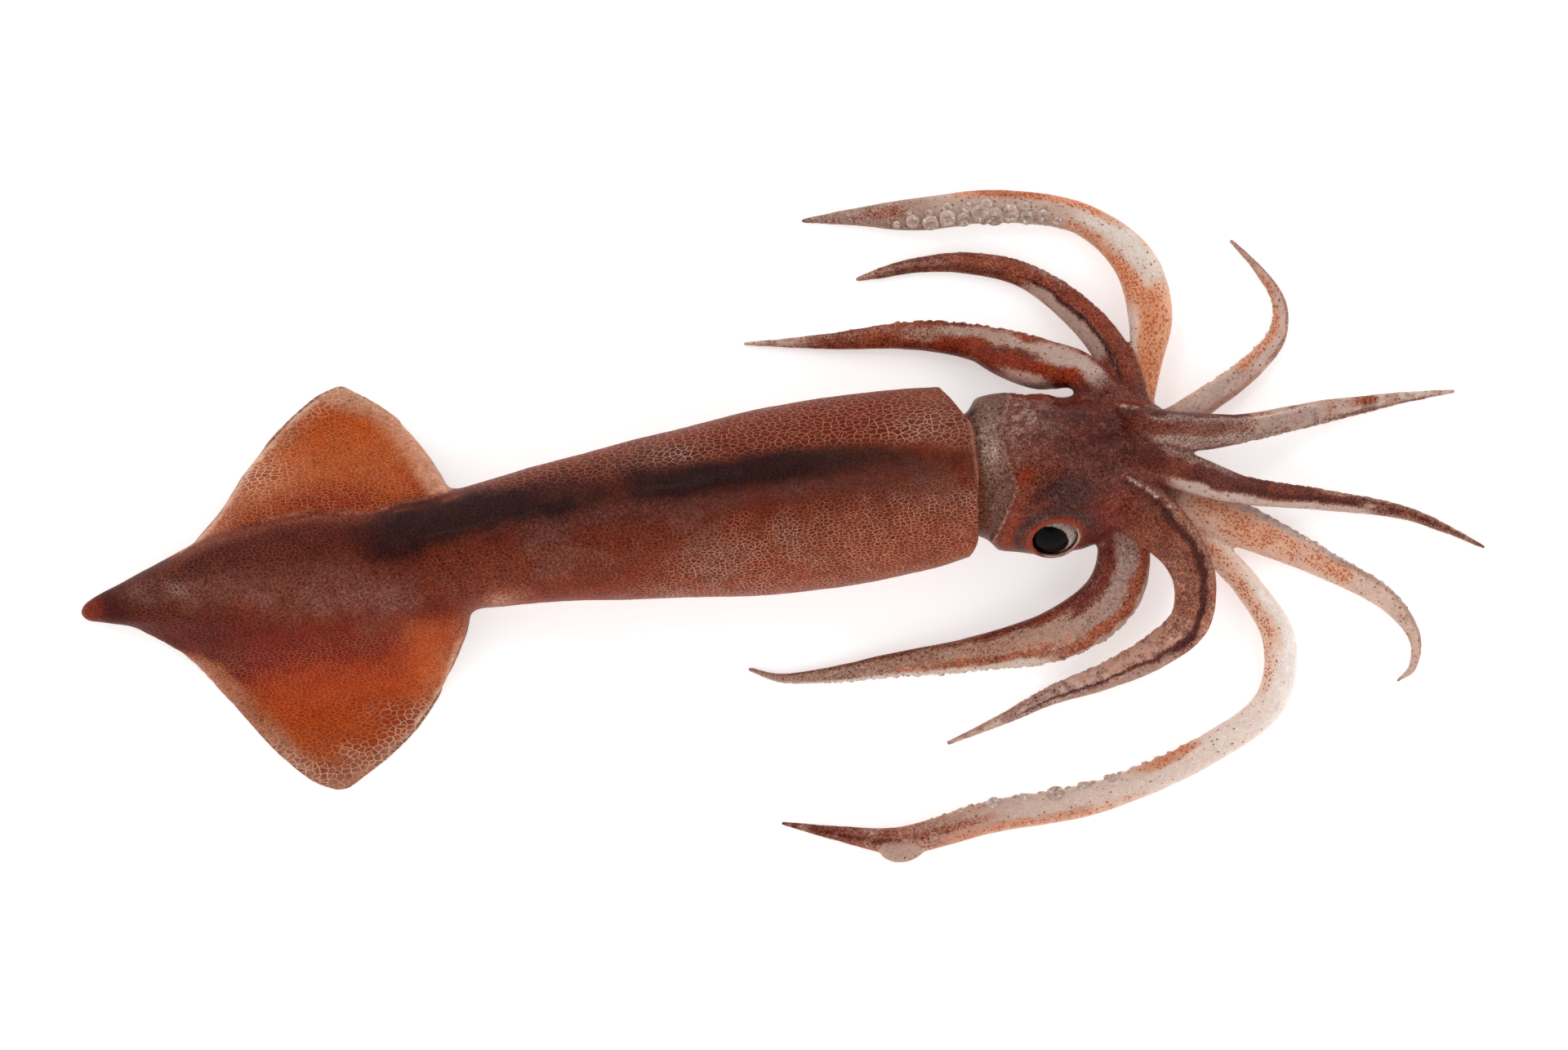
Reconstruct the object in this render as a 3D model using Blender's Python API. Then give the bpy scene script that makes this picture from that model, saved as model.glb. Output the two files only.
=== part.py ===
"""Arrow squid lying belly down, dorsal side up: mantle, two fins, head, eight arms and two tentacles.

All sizes are in millimetres in the squid's own layout: along runs from the tail tip towards the arms, across is
positive towards the squid's left, and height is measured from the surface that it lies on.
"""

import math

import bpy
import numpy as np

MM = 0.001

# Where the tail tip lies in the finished frame, so that the origin is under the middle of the whole animal.
TAIL_ALONG = -193.4
TAIL_ACROSS = 13.2

# Mantle: (along, half width, half height, sideways offset of the centre line).
MANTLE = (
    (-0.8, 0.5, 0.5, 0.0),
    (0.0, 1.8, 1.6, 0.0),
    (4.0, 3.7, 3.3, 0.2),
    (10.0, 5.6, 5.2, 0.3),
    (20.0, 8.7, 7.6, 0.7),
    (33.0, 12.9, 10.6, 0.9),
    (46.0, 15.6, 12.6, 0.9),
    (60.0, 16.8, 13.8, 0.9),
    (90.0, 15.9, 14.2, 0.8),
    (110.0, 17.0, 15.2, 0.9),
    (130.0, 18.8, 16.6, 1.4),
    (160.0, 22.4, 19.3, 1.1),
    (190.0, 25.5, 21.3, 0.5),
    (213.0, 26.3, 22.0, 0.5),
    (238.0, 25.3, 21.4, 0.6),
    (251.0, 24.0, 20.6, 0.9),
)
MANTLE_LENGTH = 251.0
TAIL_TIP = -0.8
MANTLE_SINK = 1.0
RIM_WALL = 2.6
RIM_DEPTH = 8.0
RIM_SLANT_LEFT = 6.5
RIM_SLANT_RIGHT = 3.9
RIM_CORNER = 1.6

# Fins: (along, across) stations of the free margin, and the share of the half width where the fin leaves the mantle.
FIN_RIGHT = ((9.0, -3.0), (16.0, -8.4), (25.0, -15.7), (35.0, -28.8), (49.0, -49.4), (58.0, -57.9),
             (63.5, -59.9), (70.0, -57.1), (85.0, -47.6), (96.0, -35.8), (105.0, -21.4), (108.0, -12.0))
FIN_LEFT = ((27.0, 7.0), (33.0, 14.2), (42.0, 21.8), (52.0, 33.5), (66.0, 44.9), (75.0, 49.9),
            (80.0, 51.0), (84.0, 48.7), (94.0, 40.2), (101.0, 30.0), (105.0, 20.6), (107.0, 12.0))
FIN_ROOT_RIGHT = 0.30
FIN_ROOT_LEFT = 0.90
FIN_ROOT_THICKNESS = 5.0
FIN_EDGE_THICKNESS = 1.5

# Head and neck: (along, half width, sideways centre, underside height, top height).
HEAD = (
    (238.0, 14.5, -0.5, 5.0, 34.0),
    (246.0, 16.0, -0.9, 4.0, 34.6),
    (250.5, 17.5, -1.3, 3.0, 35.0),
    (254.0, 21.3, -1.4, 1.5, 35.6),
    (259.0, 22.2, -1.8, 0.4, 37.0),
    (264.0, 22.7, -2.7, -0.4, 38.0),
    (270.0, 22.2, -3.4, -0.8, 37.8),
    (277.0, 21.2, -4.6, -0.6, 36.4),
    (285.0, 19.6, -3.6, 0.0, 33.4),
    (294.0, 16.6, -2.0, 0.8, 29.6),
    (303.0, 12.0, -1.6, 2.5, 24.0),
    (309.0, 6.0, -1.6, 6.0, 17.0),
)

# Eyes: ball centre, ball radius and the way each pupil looks, as an angle from straight up, positive to the left.
EYE_RADIUS = 9.0
EYE_RIGHT = ((268.9, -16.8, 22.2), math.radians(-30.0))
EYE_LEFT = ((268.6, 9.6, 18.0), math.radians(112.0))
EYE_GAP = 0.3
LID_THICKNESS = 1.0
# The opening between the lids: half sizes, how far it lies off the eyeball's middle, and how far out it is cut.
LID_OPENING = (6.3, 5.9)
LID_SHIFT = (0.6, -1.5)
LID_REACH = 1.18

# Limbs, from the crown to the tip: (along, across, width) stations, the height of the root's middle, the share of
# the length after which the limb rests on the surface, and how flat the section is.
LIMBS = {
    "arm_1_left": dict(root=24.6, rest=0.72, flat=0.86, stations=(
        (291.0, 6.6, 12.8), (303.3, 3.2, 11.6), (314.4, 1.0, 10.4), (325.8, 0.2, 8.0), (348.9, 1.3, 6.4),
        (360.5, 1.5, 4.8), (372.0, 1.7, 3.1), (386.0, 1.2, 0.9))),
    "arm_1_right": dict(root=25.4, rest=0.72, flat=0.86, stations=(
        (289.0, -1.2, 13.6), (301.8, -6.0, 11.6), (312.4, -11.6, 10.2), (323.1, -16.7, 8.0), (345.2, -23.0, 5.8),
        (367.0, -30.1, 3.8), (377.6, -36.2, 2.6), (387.4, -43.0, 0.8))),
    "arm_2_left": dict(root=18.0, rest=0.50, flat=0.78, stations=(
        (290.0, 12.0, 11.5), (283.6, 22.8, 10.8), (273.0, 26.6, 14.2), (264.6, 30.7, 13.2), (256.3, 35.4, 10.2),
        (240.1, 39.9, 8.0), (217.4, 42.0, 4.6), (204.0, 43.6, 2.6), (192.8, 45.2, 0.8))),
    "arm_2_right": dict(root=22.4, rest=0.80, flat=0.80, stations=(
        (289.0, -13.0, 17.0), (298.0, -22.2, 15.2), (303.8, -31.0, 12.8), (305.8, -40.0, 11.6),
        (302.8, -50.3, 11.0), (292.7, -56.9, 9.6), (277.6, -61.7, 7.4), (262.0, -64.8, 5.2),
        (247.7, -69.2, 3.2), (231.4, -73.5, 1.0))),
    "arm_3_left": dict(root=12.4, rest=0.45, flat=0.80, stations=(
        (295.0, 10.0, 12.0), (293.2, 26.4, 10.4), (284.8, 40.5, 9.1), (272.4, 51.9, 7.0), (258.4, 57.4, 6.1),
        (243.1, 59.2, 4.2), (233.0, 58.5, 3.0), (226.4, 57.8, 1.0))),
    "arm_3_right": dict(root=13.0, rest=0.34, flat=0.74, stations=(
        (287.0, -14.0, 12.6), (288.0, -28.0, 14.6), (283.1, -39.6, 15.6), (267.9, -47.9, 14.6), (243.1, -50.0, 9.7),
        (220.2, -49.6, 6.8), (200.0, -49.5, 4.1), (188.0, -48.2, 2.6), (180.0, -44.4, 0.9))),
    "arm_4_left": dict(root=8.6, rest=0.40, flat=0.80, stations=(
        (300.0, 2.0, 9.0), (317.3, 9.5, 7.6), (330.6, 16.4, 6.7), (339.7, 24.4, 5.3), (341.6, 33.3, 3.9),
        (337.4, 43.1, 2.6), (331.0, 52.4, 0.9))),
    "arm_4_right": dict(root=9.4, rest=0.45, flat=0.62, stations=(
        (298.0, -12.0, 20.4), (311.0, -20.1, 15.0), (321.5, -26.4, 12.4), (342.4, -40.5, 8.0), (358.8, -53.8, 6.0),
        (364.3, -65.0, 3.5), (362.2, -73.0, 2.2), (357.6, -75.9, 0.8))),
    "tentacle_left": dict(root=9.4, rest=0.30, flat=0.84, stations=(
        (296.0, 6.0, 8.6), (301.6, 21.1, 9.0), (305.6, 36.0, 12.4), (303.4, 50.8, 12.0), (291.0, 64.6, 8.9),
        (268.1, 71.8, 9.2), (245.4, 73.1, 9.0), (230.0, 75.0, 5.2), (214.0, 76.4, 1.0))),
    "tentacle_right": dict(root=8.4, rest=0.22, flat=0.84, stations=(
        (299.0, -14.0, 9.0), (310.8, -29.4, 7.8), (321.0, -44.2, 7.8), (326.9, -60.0, 9.2), (321.6, -76.0, 8.8),
        (302.8, -86.3, 8.6), (270.5, -94.7, 8.8), (240.0, -95.6, 8.8), (214.0, -98.0, 7.6), (198.0, -93.6, 4.3),
        (182.4, -88.2, 0.9))),
}
LIMB_SINK = 0.5
RING_SPACING = 7.6
LIMB_SIDES = 12

# Rows of sucker cups on the tentacle clubs: the share of the length where a row starts and ends, how many cups it
# has, how far they turn from straight up towards the limb's left, and the radius of the largest.
CUP_ROWS = (
    dict(limb="tentacle_left", start=0.52, end=0.81, count=9, turn=34.0, radius=2.5),
    dict(limb="tentacle_left", start=0.55, end=0.76, count=5, turn=0.0, radius=1.5),
    dict(limb="tentacle_right", start=0.565, end=0.755, count=6, turn=-70.0, radius=2.3),
)
CUP_SIDES = 8

# The soft lobe under the right tentacle's club: its middle and half sizes.
CLUB_LOBE = ((214.6, -99.8, 3.2), (6.6, 4.4, 3.4))

# Funnel under the head.
FUNNEL = ((236.0, -5.0, 9.0, 11.0), (250.0, -5.5, 7.0, 9.5), (262.0, -6.0, 5.2, 6.6), (267.0, -6.2, 4.6, 5.6))


def smooth(stations, at):
    """Monotone cubic interpolation of the columns of stations, whose first column increases."""
    table = np.array(stations, float)
    x, values = table[:, 0], table[:, 1:]
    step = np.diff(x)
    slope = np.diff(values, axis=0) / step[:, None]
    tangent = np.zeros_like(values)
    tangent[0], tangent[-1] = slope[0], slope[-1]
    before, after = slope[:-1], slope[1:]
    w1 = (2 * step[1:] + step[:-1])[:, None]
    w2 = (step[1:] + 2 * step[:-1])[:, None]
    same = before * after > 0
    safe_before = np.where(same, before, 1.0)
    safe_after = np.where(same, after, 1.0)
    tangent[1:-1] = np.where(same, (w1 + w2) / (w1 / safe_before + w2 / safe_after), 0.0)
    at = np.clip(np.atleast_1d(np.asarray(at, float)), x[0], x[-1])
    index = np.clip(np.searchsorted(x, at, side="right") - 1, 0, len(step) - 1)
    h = step[index][:, None]
    t = ((at - x[index])[:, None]) / h
    return (
        (2 * t**3 - 3 * t**2 + 1) * values[index]
        + (t**3 - 2 * t**2 + t) * h * tangent[index]
        + (-2 * t**3 + 3 * t**2) * values[index + 1]
        + (t**3 - t**2) * h * tangent[index + 1]
    )


def spline(points, count):
    """Evenly spaced points along a smooth curve through the given points, with its other columns carried along."""
    points = np.array(points, float)
    chord = np.sqrt(np.linalg.norm(np.diff(points[:, :2], axis=0), axis=1))
    knots = np.concatenate([[0.0], np.cumsum(chord)])
    tangent = np.gradient(points, knots, axis=0)
    fine = np.linspace(0.0, knots[-1], 400)
    index = np.clip(np.searchsorted(knots, fine, side="right") - 1, 0, len(chord) - 1)
    h = chord[index][:, None]
    t = (fine - knots[index])[:, None] / h
    curve = (
        (2 * t**3 - 3 * t**2 + 1) * points[index]
        + (t**3 - 2 * t**2 + t) * h * tangent[index]
        + (-2 * t**3 + 3 * t**2) * points[index + 1]
        + (t**3 - t**2) * h * tangent[index + 1]
    )
    length = np.concatenate([[0.0], np.cumsum(np.linalg.norm(np.diff(curve[:, :2], axis=0), axis=1))])
    even = np.linspace(0.0, length[-1], count)
    return np.column_stack([np.interp(even, length, column) for column in curve.T])


def superellipse(count, power):
    """Points of a unit rounded outline, anticlockwise, starting at the left."""
    angle = np.arange(count) * 2 * math.pi / count
    c, s = np.cos(angle), np.sin(angle)
    return np.column_stack([np.sign(c) * np.abs(c) ** (2 / power), np.sign(s) * np.abs(s) ** (2 / power)])


def skin(rings):
    """Faces between rings of equal length, with a fan to a middle point at each end."""
    rings = np.array(rings, float)
    count, sides, _ = rings.shape
    points = [tuple(p) for ring in rings for p in ring]
    faces = []
    for i in range(count - 1):
        for j in range(sides):
            k = (j + 1) % sides
            faces.append((i * sides + j, i * sides + k, (i + 1) * sides + k, (i + 1) * sides + j))
    for ring, first, reverse in ((rings[0], 0, True), (rings[-1], (count - 1) * sides, False)):
        points.append(tuple(ring.mean(axis=0)))
        middle = len(points) - 1
        for j in range(sides):
            a, b = first + j, first + (j + 1) % sides
            faces.append((b, a, middle) if reverse else (a, b, middle))
    return points, faces


def new_object(name, points, faces):
    """A mesh object from points in millimetres, moved so that the tail tip lies at its place in the frame."""
    shift = np.array([TAIL_ALONG, TAIL_ACROSS, 0.0])
    mesh = bpy.data.meshes.new(name)
    mesh.from_pydata([tuple((np.array(p) + shift) * MM) for p in points], [], faces)
    mesh.validate()
    obj = bpy.data.objects.new(name, mesh)
    bpy.context.scene.collection.objects.link(obj)
    volume = 0.0
    mesh.calc_loop_triangles()
    for triangle in mesh.loop_triangles:
        a, b, c = (mesh.vertices[i].co for i in triangle.vertices)
        volume += a.dot(b.cross(c))
    if volume < 0:
        mesh.flip_normals()
    return obj


def mantle_section(along):
    half_width, half_height, offset = smooth(MANTLE, along)[0]
    return half_width, half_height, offset, half_height - MANTLE_SINK


def mantle_surface(along, across):
    """Height of the mantle's upper surface."""
    half_width, half_height, offset, middle = mantle_section(along)
    share = min(1.0, abs(across - offset) / half_width)
    return middle + half_height * (1 - share**2.15) ** (1 / 2.15)


def mantle_rings(count, sides):
    """Outer rings from the tail to the rim, then the inside of the rim back to a floor that the neck passes."""
    upper, lower = superellipse(sides, 2.15), superellipse(sides, 2.5)
    outline = np.where(upper[:, 1:2] >= 0, upper, lower)
    sideways = outline[:, 0]
    slant = RIM_SLANT_LEFT * np.clip((sideways - 0.5) / 0.5, 0.0, 1.0) ** 1.2
    slant += RIM_SLANT_RIGHT * np.clip((0.15 - sideways) / 1.15, 0.0, 1.0) ** 1.15
    slant += RIM_CORNER * np.clip((-sideways - 0.86) / 0.14, 0.0, 1.0) ** 2
    stations = TAIL_TIP + (MANTLE_LENGTH - TAIL_TIP) * np.linspace(0.0, 1.0, count) ** 1.25
    rings = []

    def ring(along, inset, back):
        half_width, half_height, offset, middle = mantle_section(along)
        lean = np.clip((along - 200.0) / 50.0, 0.0, 1.0) ** 2
        return np.column_stack([
            along - back - slant * lean,
            offset + (half_width - inset) * outline[:, 0],
            middle + (half_height - inset) * outline[:, 1],
        ])

    for along in stations:
        rings.append(ring(along, 0.0, 0.0))
    rings.append(ring(MANTLE_LENGTH, 0.5 * RIM_WALL, -0.7))
    rings.append(ring(MANTLE_LENGTH, RIM_WALL, 0.2))
    rings.append(ring(MANTLE_LENGTH, RIM_WALL + 0.6, 0.5 * RIM_DEPTH))
    rings.append(ring(MANTLE_LENGTH, RIM_WALL + 2.2, RIM_DEPTH))
    return rings


def fin_rings(margin, root_share, side, count, across_count):
    """Rings across the fin at even steps along it: over the top from root to margin and back underneath."""
    table = np.array(margin, float)
    first, last = table[0, 0], table[-1, 0]
    rings = []
    for along in np.linspace(first, last, count):
        edge = smooth(margin, along)[0, 0]
        half_width, half_height, offset, middle = mantle_section(along)
        root = offset + side * root_share * half_width
        inner = offset + side * (root_share - 0.42) * half_width
        top_root = mantle_surface(along, root)
        reach = max(abs(edge - root), 0.1) if side * (edge - root) > 0 else 0.1
        drop = min(1.0, reach / (1.5 * top_root)) if top_root > 0 else 1.0
        top, bottom = [], []
        share = np.linspace(0.0, 1.0, across_count)
        for s in share:
            if s == 0.0:
                y, z = inner, top_root - 1.0
                thick = FIN_ROOT_THICKNESS
            else:
                u = (s - share[1]) / (1 - share[1])
                y = root + u * (edge - root)
                travelled = abs(y - root)
                fall = min(1.0, travelled / max(1.35 * top_root, 1.0))
                profile = 0.5 * (1 + math.cos(math.pi * fall))
                edge_height = FIN_EDGE_THICKNESS - 0.1
                z = edge_height + (top_root - edge_height) * (drop * profile + (1 - drop) * (1 - 0.85 * u))
                thick = FIN_EDGE_THICKNESS + (FIN_ROOT_THICKNESS - FIN_EDGE_THICKNESS) * (1 - u) ** 1.6
                thick += 0.6 * math.sin(math.pi * u)
                if s == 1.0:
                    z -= 0.35
                    thick = 0.9
            top.append((along, y, z))
            bottom.append((along, y, z - thick))
        rings.append(top + bottom[::-1])
    return rings


def head_rings(count, sides):
    table = np.array(HEAD)
    upper, lower = superellipse(sides, 2.1), superellipse(sides, 2.5)
    outline = np.where(upper[:, 1:2] >= 0, upper, lower)
    rings = []
    for along in np.linspace(table[0, 0], table[-1, 0], count):
        half_width, offset, low, high = smooth(HEAD, along)[0]
        middle = low + 0.46 * (high - low)
        tall = np.where(outline[:, 1] >= 0, high - middle, middle - low)
        rings.append(np.column_stack([
            np.full(sides, along),
            offset + half_width * outline[:, 0],
            middle + tall * outline[:, 1],
        ]))
    return rings


def limb_line(limb, count):
    """Middle line of a limb and its widths and thicknesses."""
    spec = LIMBS[limb]
    line = spline(spec["stations"], count)
    width = line[:, 2]
    thick = spec["flat"] * width
    share = np.linspace(0.0, 1.0, count)
    fall = 0.5 * (1 + np.cos(math.pi * np.clip(share / spec["rest"], 0.0, 1.0)))
    resting = 0.5 * thick - LIMB_SINK * np.minimum(1.0, thick / 3.0)
    height = resting + (spec["root"] - resting[0]) * fall
    return np.column_stack([line[:, 0], line[:, 1], height]), width, thick


def limb_frames(line):
    ahead = np.gradient(line, axis=0)
    ahead /= np.linalg.norm(ahead, axis=1)[:, None]
    side = np.cross(np.array([0.0, 0.0, 1.0]), ahead)
    side /= np.linalg.norm(side, axis=1)[:, None]
    return ahead, side, np.cross(ahead, side)


def limb_rings(limb, count, sides):
    line, width, thick = limb_line(limb, count)
    _, side, up = limb_frames(line)
    outline = superellipse(sides, 2.35)
    return [
        line[i] + outline[:, :1] * 0.5 * width[i] * side[i] + outline[:, 1:] * 0.5 * thick[i] * up[i]
        for i in range(count)
    ]


def cup_rings(centre, axis, radius):
    """A sucker cup: a short stalk, a swollen ring and a dished mouth."""
    axis = np.array(axis) / np.linalg.norm(axis)
    across = np.cross(axis, (0.0, 0.0, 1.0))
    across /= np.linalg.norm(across)
    other = np.cross(axis, across)
    angle = np.arange(CUP_SIDES) * 2 * math.pi / CUP_SIDES
    around = np.cos(angle)[:, None] * across + np.sin(angle)[:, None] * other
    profile = ((-1.1, 0.75), (0.05, 1.0), (0.5, 0.98), (0.7, 0.72), (0.36, 0.42))
    return [np.array(centre) + axis * radius * lift + around * radius * share for lift, share in profile]


def cups_on(row):
    """(centre, axis, radius) of each cup of a row, largest in its middle."""
    line, width, thick = limb_line(row["limb"], 120)
    _, side, up = limb_frames(line)
    found = []
    for number in range(row["count"]):
        share = number / (row["count"] - 1)
        i = int(round((row["start"] + (row["end"] - row["start"]) * share) * 119))
        radius = row["radius"] * (0.62 + 0.38 * math.sin(math.pi * (0.14 + 0.76 * share)))
        turn = math.radians(row["turn"] + 9.0 * (-1) ** number)
        axis = math.sin(turn) * side[i] + math.cos(turn) * up[i]
        reach = 0.5 * math.hypot(width[i] * math.sin(turn), thick[i] * math.cos(turn)) - 0.3 * radius
        centre = line[i] + axis * reach
        centre[2] = max(centre[2], 0.85 * radius)
        found.append((centre, axis, radius))
    return found


def ball(centre, radius, rows, sides):
    rings = []
    for row in range(1, rows):
        angle = math.pi * row / rows
        flat = np.arange(sides) * 2 * math.pi / sides
        rings.append(np.column_stack([
            centre[0] + radius * math.sin(angle) * np.cos(flat),
            centre[1] + radius * math.sin(angle) * np.sin(flat),
            np.full(sides, centre[2] - radius * math.cos(angle)),
        ]))
    points, faces = skin(rings)
    points[-2] = (centre[0], centre[1], centre[2] - radius)
    points[-1] = (centre[0], centre[1], centre[2] + radius)
    return points, faces


def turned(points, centre, angle):
    """Points turned about the lengthwise line through the centre, from straight up towards the left."""
    c, s = math.cos(angle), math.sin(angle)
    out = []
    for x, y, z in points:
        dy, dz = y - centre[1], z - centre[2]
        out.append((x, centre[1] + c * dy + s * dz, centre[2] - s * dy + c * dz))
    return out


def eye_opening(centre, radius, angle):
    """A slightly flared plug that opens the lids in front of the eyeball."""
    count = 20
    flat = np.arange(count) * 2 * math.pi / count
    rings = []
    for reach, flare in ((0.35, 0.94), (LID_REACH, 1.06)):
        rings.append(np.column_stack([
            centre[0] + LID_SHIFT[0] + flare * LID_OPENING[0] * np.cos(flat),
            centre[1] + LID_SHIFT[1] + flare * LID_OPENING[1] * np.sin(flat),
            np.full(count, centre[2] + reach * radius),
        ]))
    points, faces = skin(rings)
    return turned(points, centre, angle), faces


def material(name, colour, roughness):
    made = bpy.data.materials.new(name)
    made.use_nodes = True
    shader = made.node_tree.nodes["Principled BSDF"]
    shader.inputs["Base Color"].default_value = (*colour, 1.0)
    shader.inputs["Roughness"].default_value = roughness
    shader.inputs["Metallic"].default_value = 0.0
    return made


def combine(target, others, operation, solver="MANIFOLD"):
    """One Boolean of the target with a collection of the others, which are then removed."""
    group = bpy.data.collections.new("joining")
    for other in others:
        group.objects.link(other)
    modifier = target.modifiers.new("join", "BOOLEAN")
    modifier.operation = operation
    modifier.operand_type = "COLLECTION"
    modifier.collection = group
    modifier.solver = solver
    graph = bpy.context.evaluated_depsgraph_get()
    result = bpy.data.meshes.new_from_object(target.evaluated_get(graph))
    target.modifiers.clear()
    target.data = result
    for other in list(others):
        bpy.data.objects.remove(other)
    bpy.data.collections.remove(group)


def main():
    for obj in list(bpy.data.objects):
        bpy.data.objects.remove(obj)

    squid = new_object("squid", *skin(mantle_rings(24, 30)))
    pieces = [
        new_object("fin_right", *skin(fin_rings(FIN_RIGHT, FIN_ROOT_RIGHT, -1.0, 24, 10))),
        new_object("fin_left", *skin(fin_rings(FIN_LEFT, FIN_ROOT_LEFT, 1.0, 22, 9))),
        new_object("head", *skin(head_rings(20, 28))),
    ]
    for limb in LIMBS:
        length = spline(LIMBS[limb]["stations"], 200)[:, :2]
        length = np.linalg.norm(np.diff(length, axis=0), axis=1).sum()
        pieces.append(new_object(limb, *skin(limb_rings(limb, round(length / RING_SPACING), LIMB_SIDES))))
    for row in CUP_ROWS:
        for centre, axis, radius in cups_on(row):
            pieces.append(new_object("cup", *skin(cup_rings(centre, axis, radius))))
    funnel = []
    outline = superellipse(14, 2.2)
    for along, across, height, half in FUNNEL:
        funnel.append(np.column_stack([
            np.full(14, along), across + half * outline[:, 0], height + 0.8 * half * outline[:, 1]]))
    along, across, height, half = FUNNEL[-1]
    for back, share in ((0.6, 0.66), (-4.0, 0.55)):
        funnel.append(np.column_stack([
            np.full(14, along + back), across + share * half * outline[:, 0],
            height + 0.8 * share * half * outline[:, 1]]))
    pieces.append(new_object("funnel", *skin(funnel)))
    points, faces = ball((0.0, 0.0, 0.0), 1.0, 9, 14)
    pieces.append(new_object("lobe", np.array(points) * CLUB_LOBE[1] + np.array(CLUB_LOBE[0]), faces))
    for name, (centre, _) in (("lid_right", EYE_RIGHT), ("lid_left", EYE_LEFT)):
        pieces.append(new_object(name, *ball(centre, EYE_RADIUS + EYE_GAP + LID_THICKNESS, 10, 18)))
    combine(squid, pieces, "UNION")

    cutters = []
    for name, (centre, angle) in (("socket_right", EYE_RIGHT), ("socket_left", EYE_LEFT)):
        points, faces = ball(centre, EYE_RADIUS + EYE_GAP, 12, 20)
        cutters.append(new_object(name, turned(points, centre, angle), faces))
        cutters.append(new_object(name + "_opening", *eye_opening(centre, EYE_RADIUS, angle)))
    corners = [(x, y, z) for x in (-50.0, 450.0) for y in (-200.0, 200.0) for z in (-60.0, 0.0)]
    box = [(0, 1, 3, 2), (4, 6, 7, 5), (0, 4, 5, 1), (2, 3, 7, 6), (0, 2, 6, 4), (1, 5, 7, 3)]
    cutters.append(new_object("surface", corners, box))
    combine(squid, cutters, "DIFFERENCE")

    eyes = []
    for name, (centre, angle) in (("right_eye", EYE_RIGHT), ("left_eye", EYE_LEFT)):
        points, faces = ball(centre, EYE_RADIUS, 12, 18)
        eyes.append(new_object(name, turned(points, centre, angle), faces))

    squid.data.materials.clear()
    squid.data.materials.append(material("flesh", (0.22, 0.065, 0.035), 0.32))
    for eye in eyes:
        eye.data.materials.append(material(eye.name, (0.02, 0.016, 0.014), 0.12))
    for obj in [squid, *eyes]:
        for polygon in obj.data.polygons:
            polygon.use_smooth = True


main()
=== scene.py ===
"""Looks of the arrow squid: its skin, eyes and suckers, with a pale floor, soft light and the camera.

Sizes are in millimetres in the squid's own layout, as in the solids: along runs from the tail tip towards
the arms, across is positive towards the squid's left, and height is measured from the surface that it
lies on. Colours are sRGB values from 0 to 255, as they look in even light.
"""

import math

import bpy
import numpy as np
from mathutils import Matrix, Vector, bvhtree, noise


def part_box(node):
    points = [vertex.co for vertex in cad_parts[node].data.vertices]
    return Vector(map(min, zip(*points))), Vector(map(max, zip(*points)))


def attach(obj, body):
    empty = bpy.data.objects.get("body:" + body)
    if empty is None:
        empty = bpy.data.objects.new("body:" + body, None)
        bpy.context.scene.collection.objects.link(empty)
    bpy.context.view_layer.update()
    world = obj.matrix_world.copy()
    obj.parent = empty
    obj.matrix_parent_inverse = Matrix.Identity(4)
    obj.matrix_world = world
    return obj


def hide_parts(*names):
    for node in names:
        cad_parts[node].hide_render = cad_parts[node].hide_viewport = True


MM = 0.001

# Mantle: (along, half width, half height, sideways offset of the centre line).
MANTLE = (
    (-0.8, 0.5, 0.5, 0.0),
    (0.0, 1.8, 1.6, 0.0),
    (4.0, 3.7, 3.3, 0.2),
    (10.0, 5.6, 5.2, 0.3),
    (20.0, 8.7, 7.6, 0.7),
    (33.0, 12.9, 10.6, 0.9),
    (46.0, 15.6, 12.6, 0.9),
    (60.0, 16.8, 13.8, 0.9),
    (90.0, 15.9, 14.2, 0.8),
    (110.0, 17.0, 15.2, 0.9),
    (130.0, 18.8, 16.6, 1.4),
    (160.0, 22.4, 19.3, 1.1),
    (190.0, 25.5, 21.3, 0.5),
    (213.0, 26.3, 22.0, 0.5),
    (238.0, 25.3, 21.4, 0.6),
    (251.0, 24.0, 20.6, 0.9),
)
MANTLE_LENGTH = 251.0
TAIL_TIP = -0.8
MANTLE_SINK = 1.0
RIM_WALL = 2.6
RIM_DEPTH = 8.0
RIM_SLANT_LEFT = 6.5
RIM_SLANT_RIGHT = 3.9
RIM_CORNER = 1.6
# The rim's rounding: the share of its wall that is passed, and how far back that is.
RIM_ROUNDING = ((0.35, -0.45), (0.5, -0.7), (0.8, -0.6), (1.0, 0.2))
# How square the sections are: 2 is an ellipse.
MANTLE_POWER = 2.15
HEAD_POWER = 2.1
UNDERSIDE_POWER = 2.5

# Fins: (along, across) stations of the free margin, and the share of the mantle's half width where the fin
# leaves it.
FIN_RIGHT = ((9.0, -3.0), (16.0, -8.4), (25.0, -15.7), (35.0, -28.8), (49.0, -49.4), (58.0, -57.9),
             (63.5, -59.9), (70.0, -57.1), (85.0, -47.6), (96.0, -35.8), (105.0, -21.4), (108.0, -12.0))
FIN_LEFT = ((27.0, 7.0), (33.0, 14.2), (42.0, 21.8), (52.0, 33.5), (66.0, 44.9), (75.0, 49.9),
            (80.0, 51.0), (84.0, 48.7), (94.0, 40.2), (101.0, 30.0), (105.0, 20.6), (107.0, 12.0))
FIN_ROOT_RIGHT = 0.30
FIN_ROOT_LEFT = 0.90
FIN_ROOT_THICKNESS = 5.0
FIN_EDGE_THICKNESS = 1.7
FIN_LIP = 1.5
# How much thicker than a flat stretch the steepest one is made, measured straight down.
STEEPEST_FIN = 2.2

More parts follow.
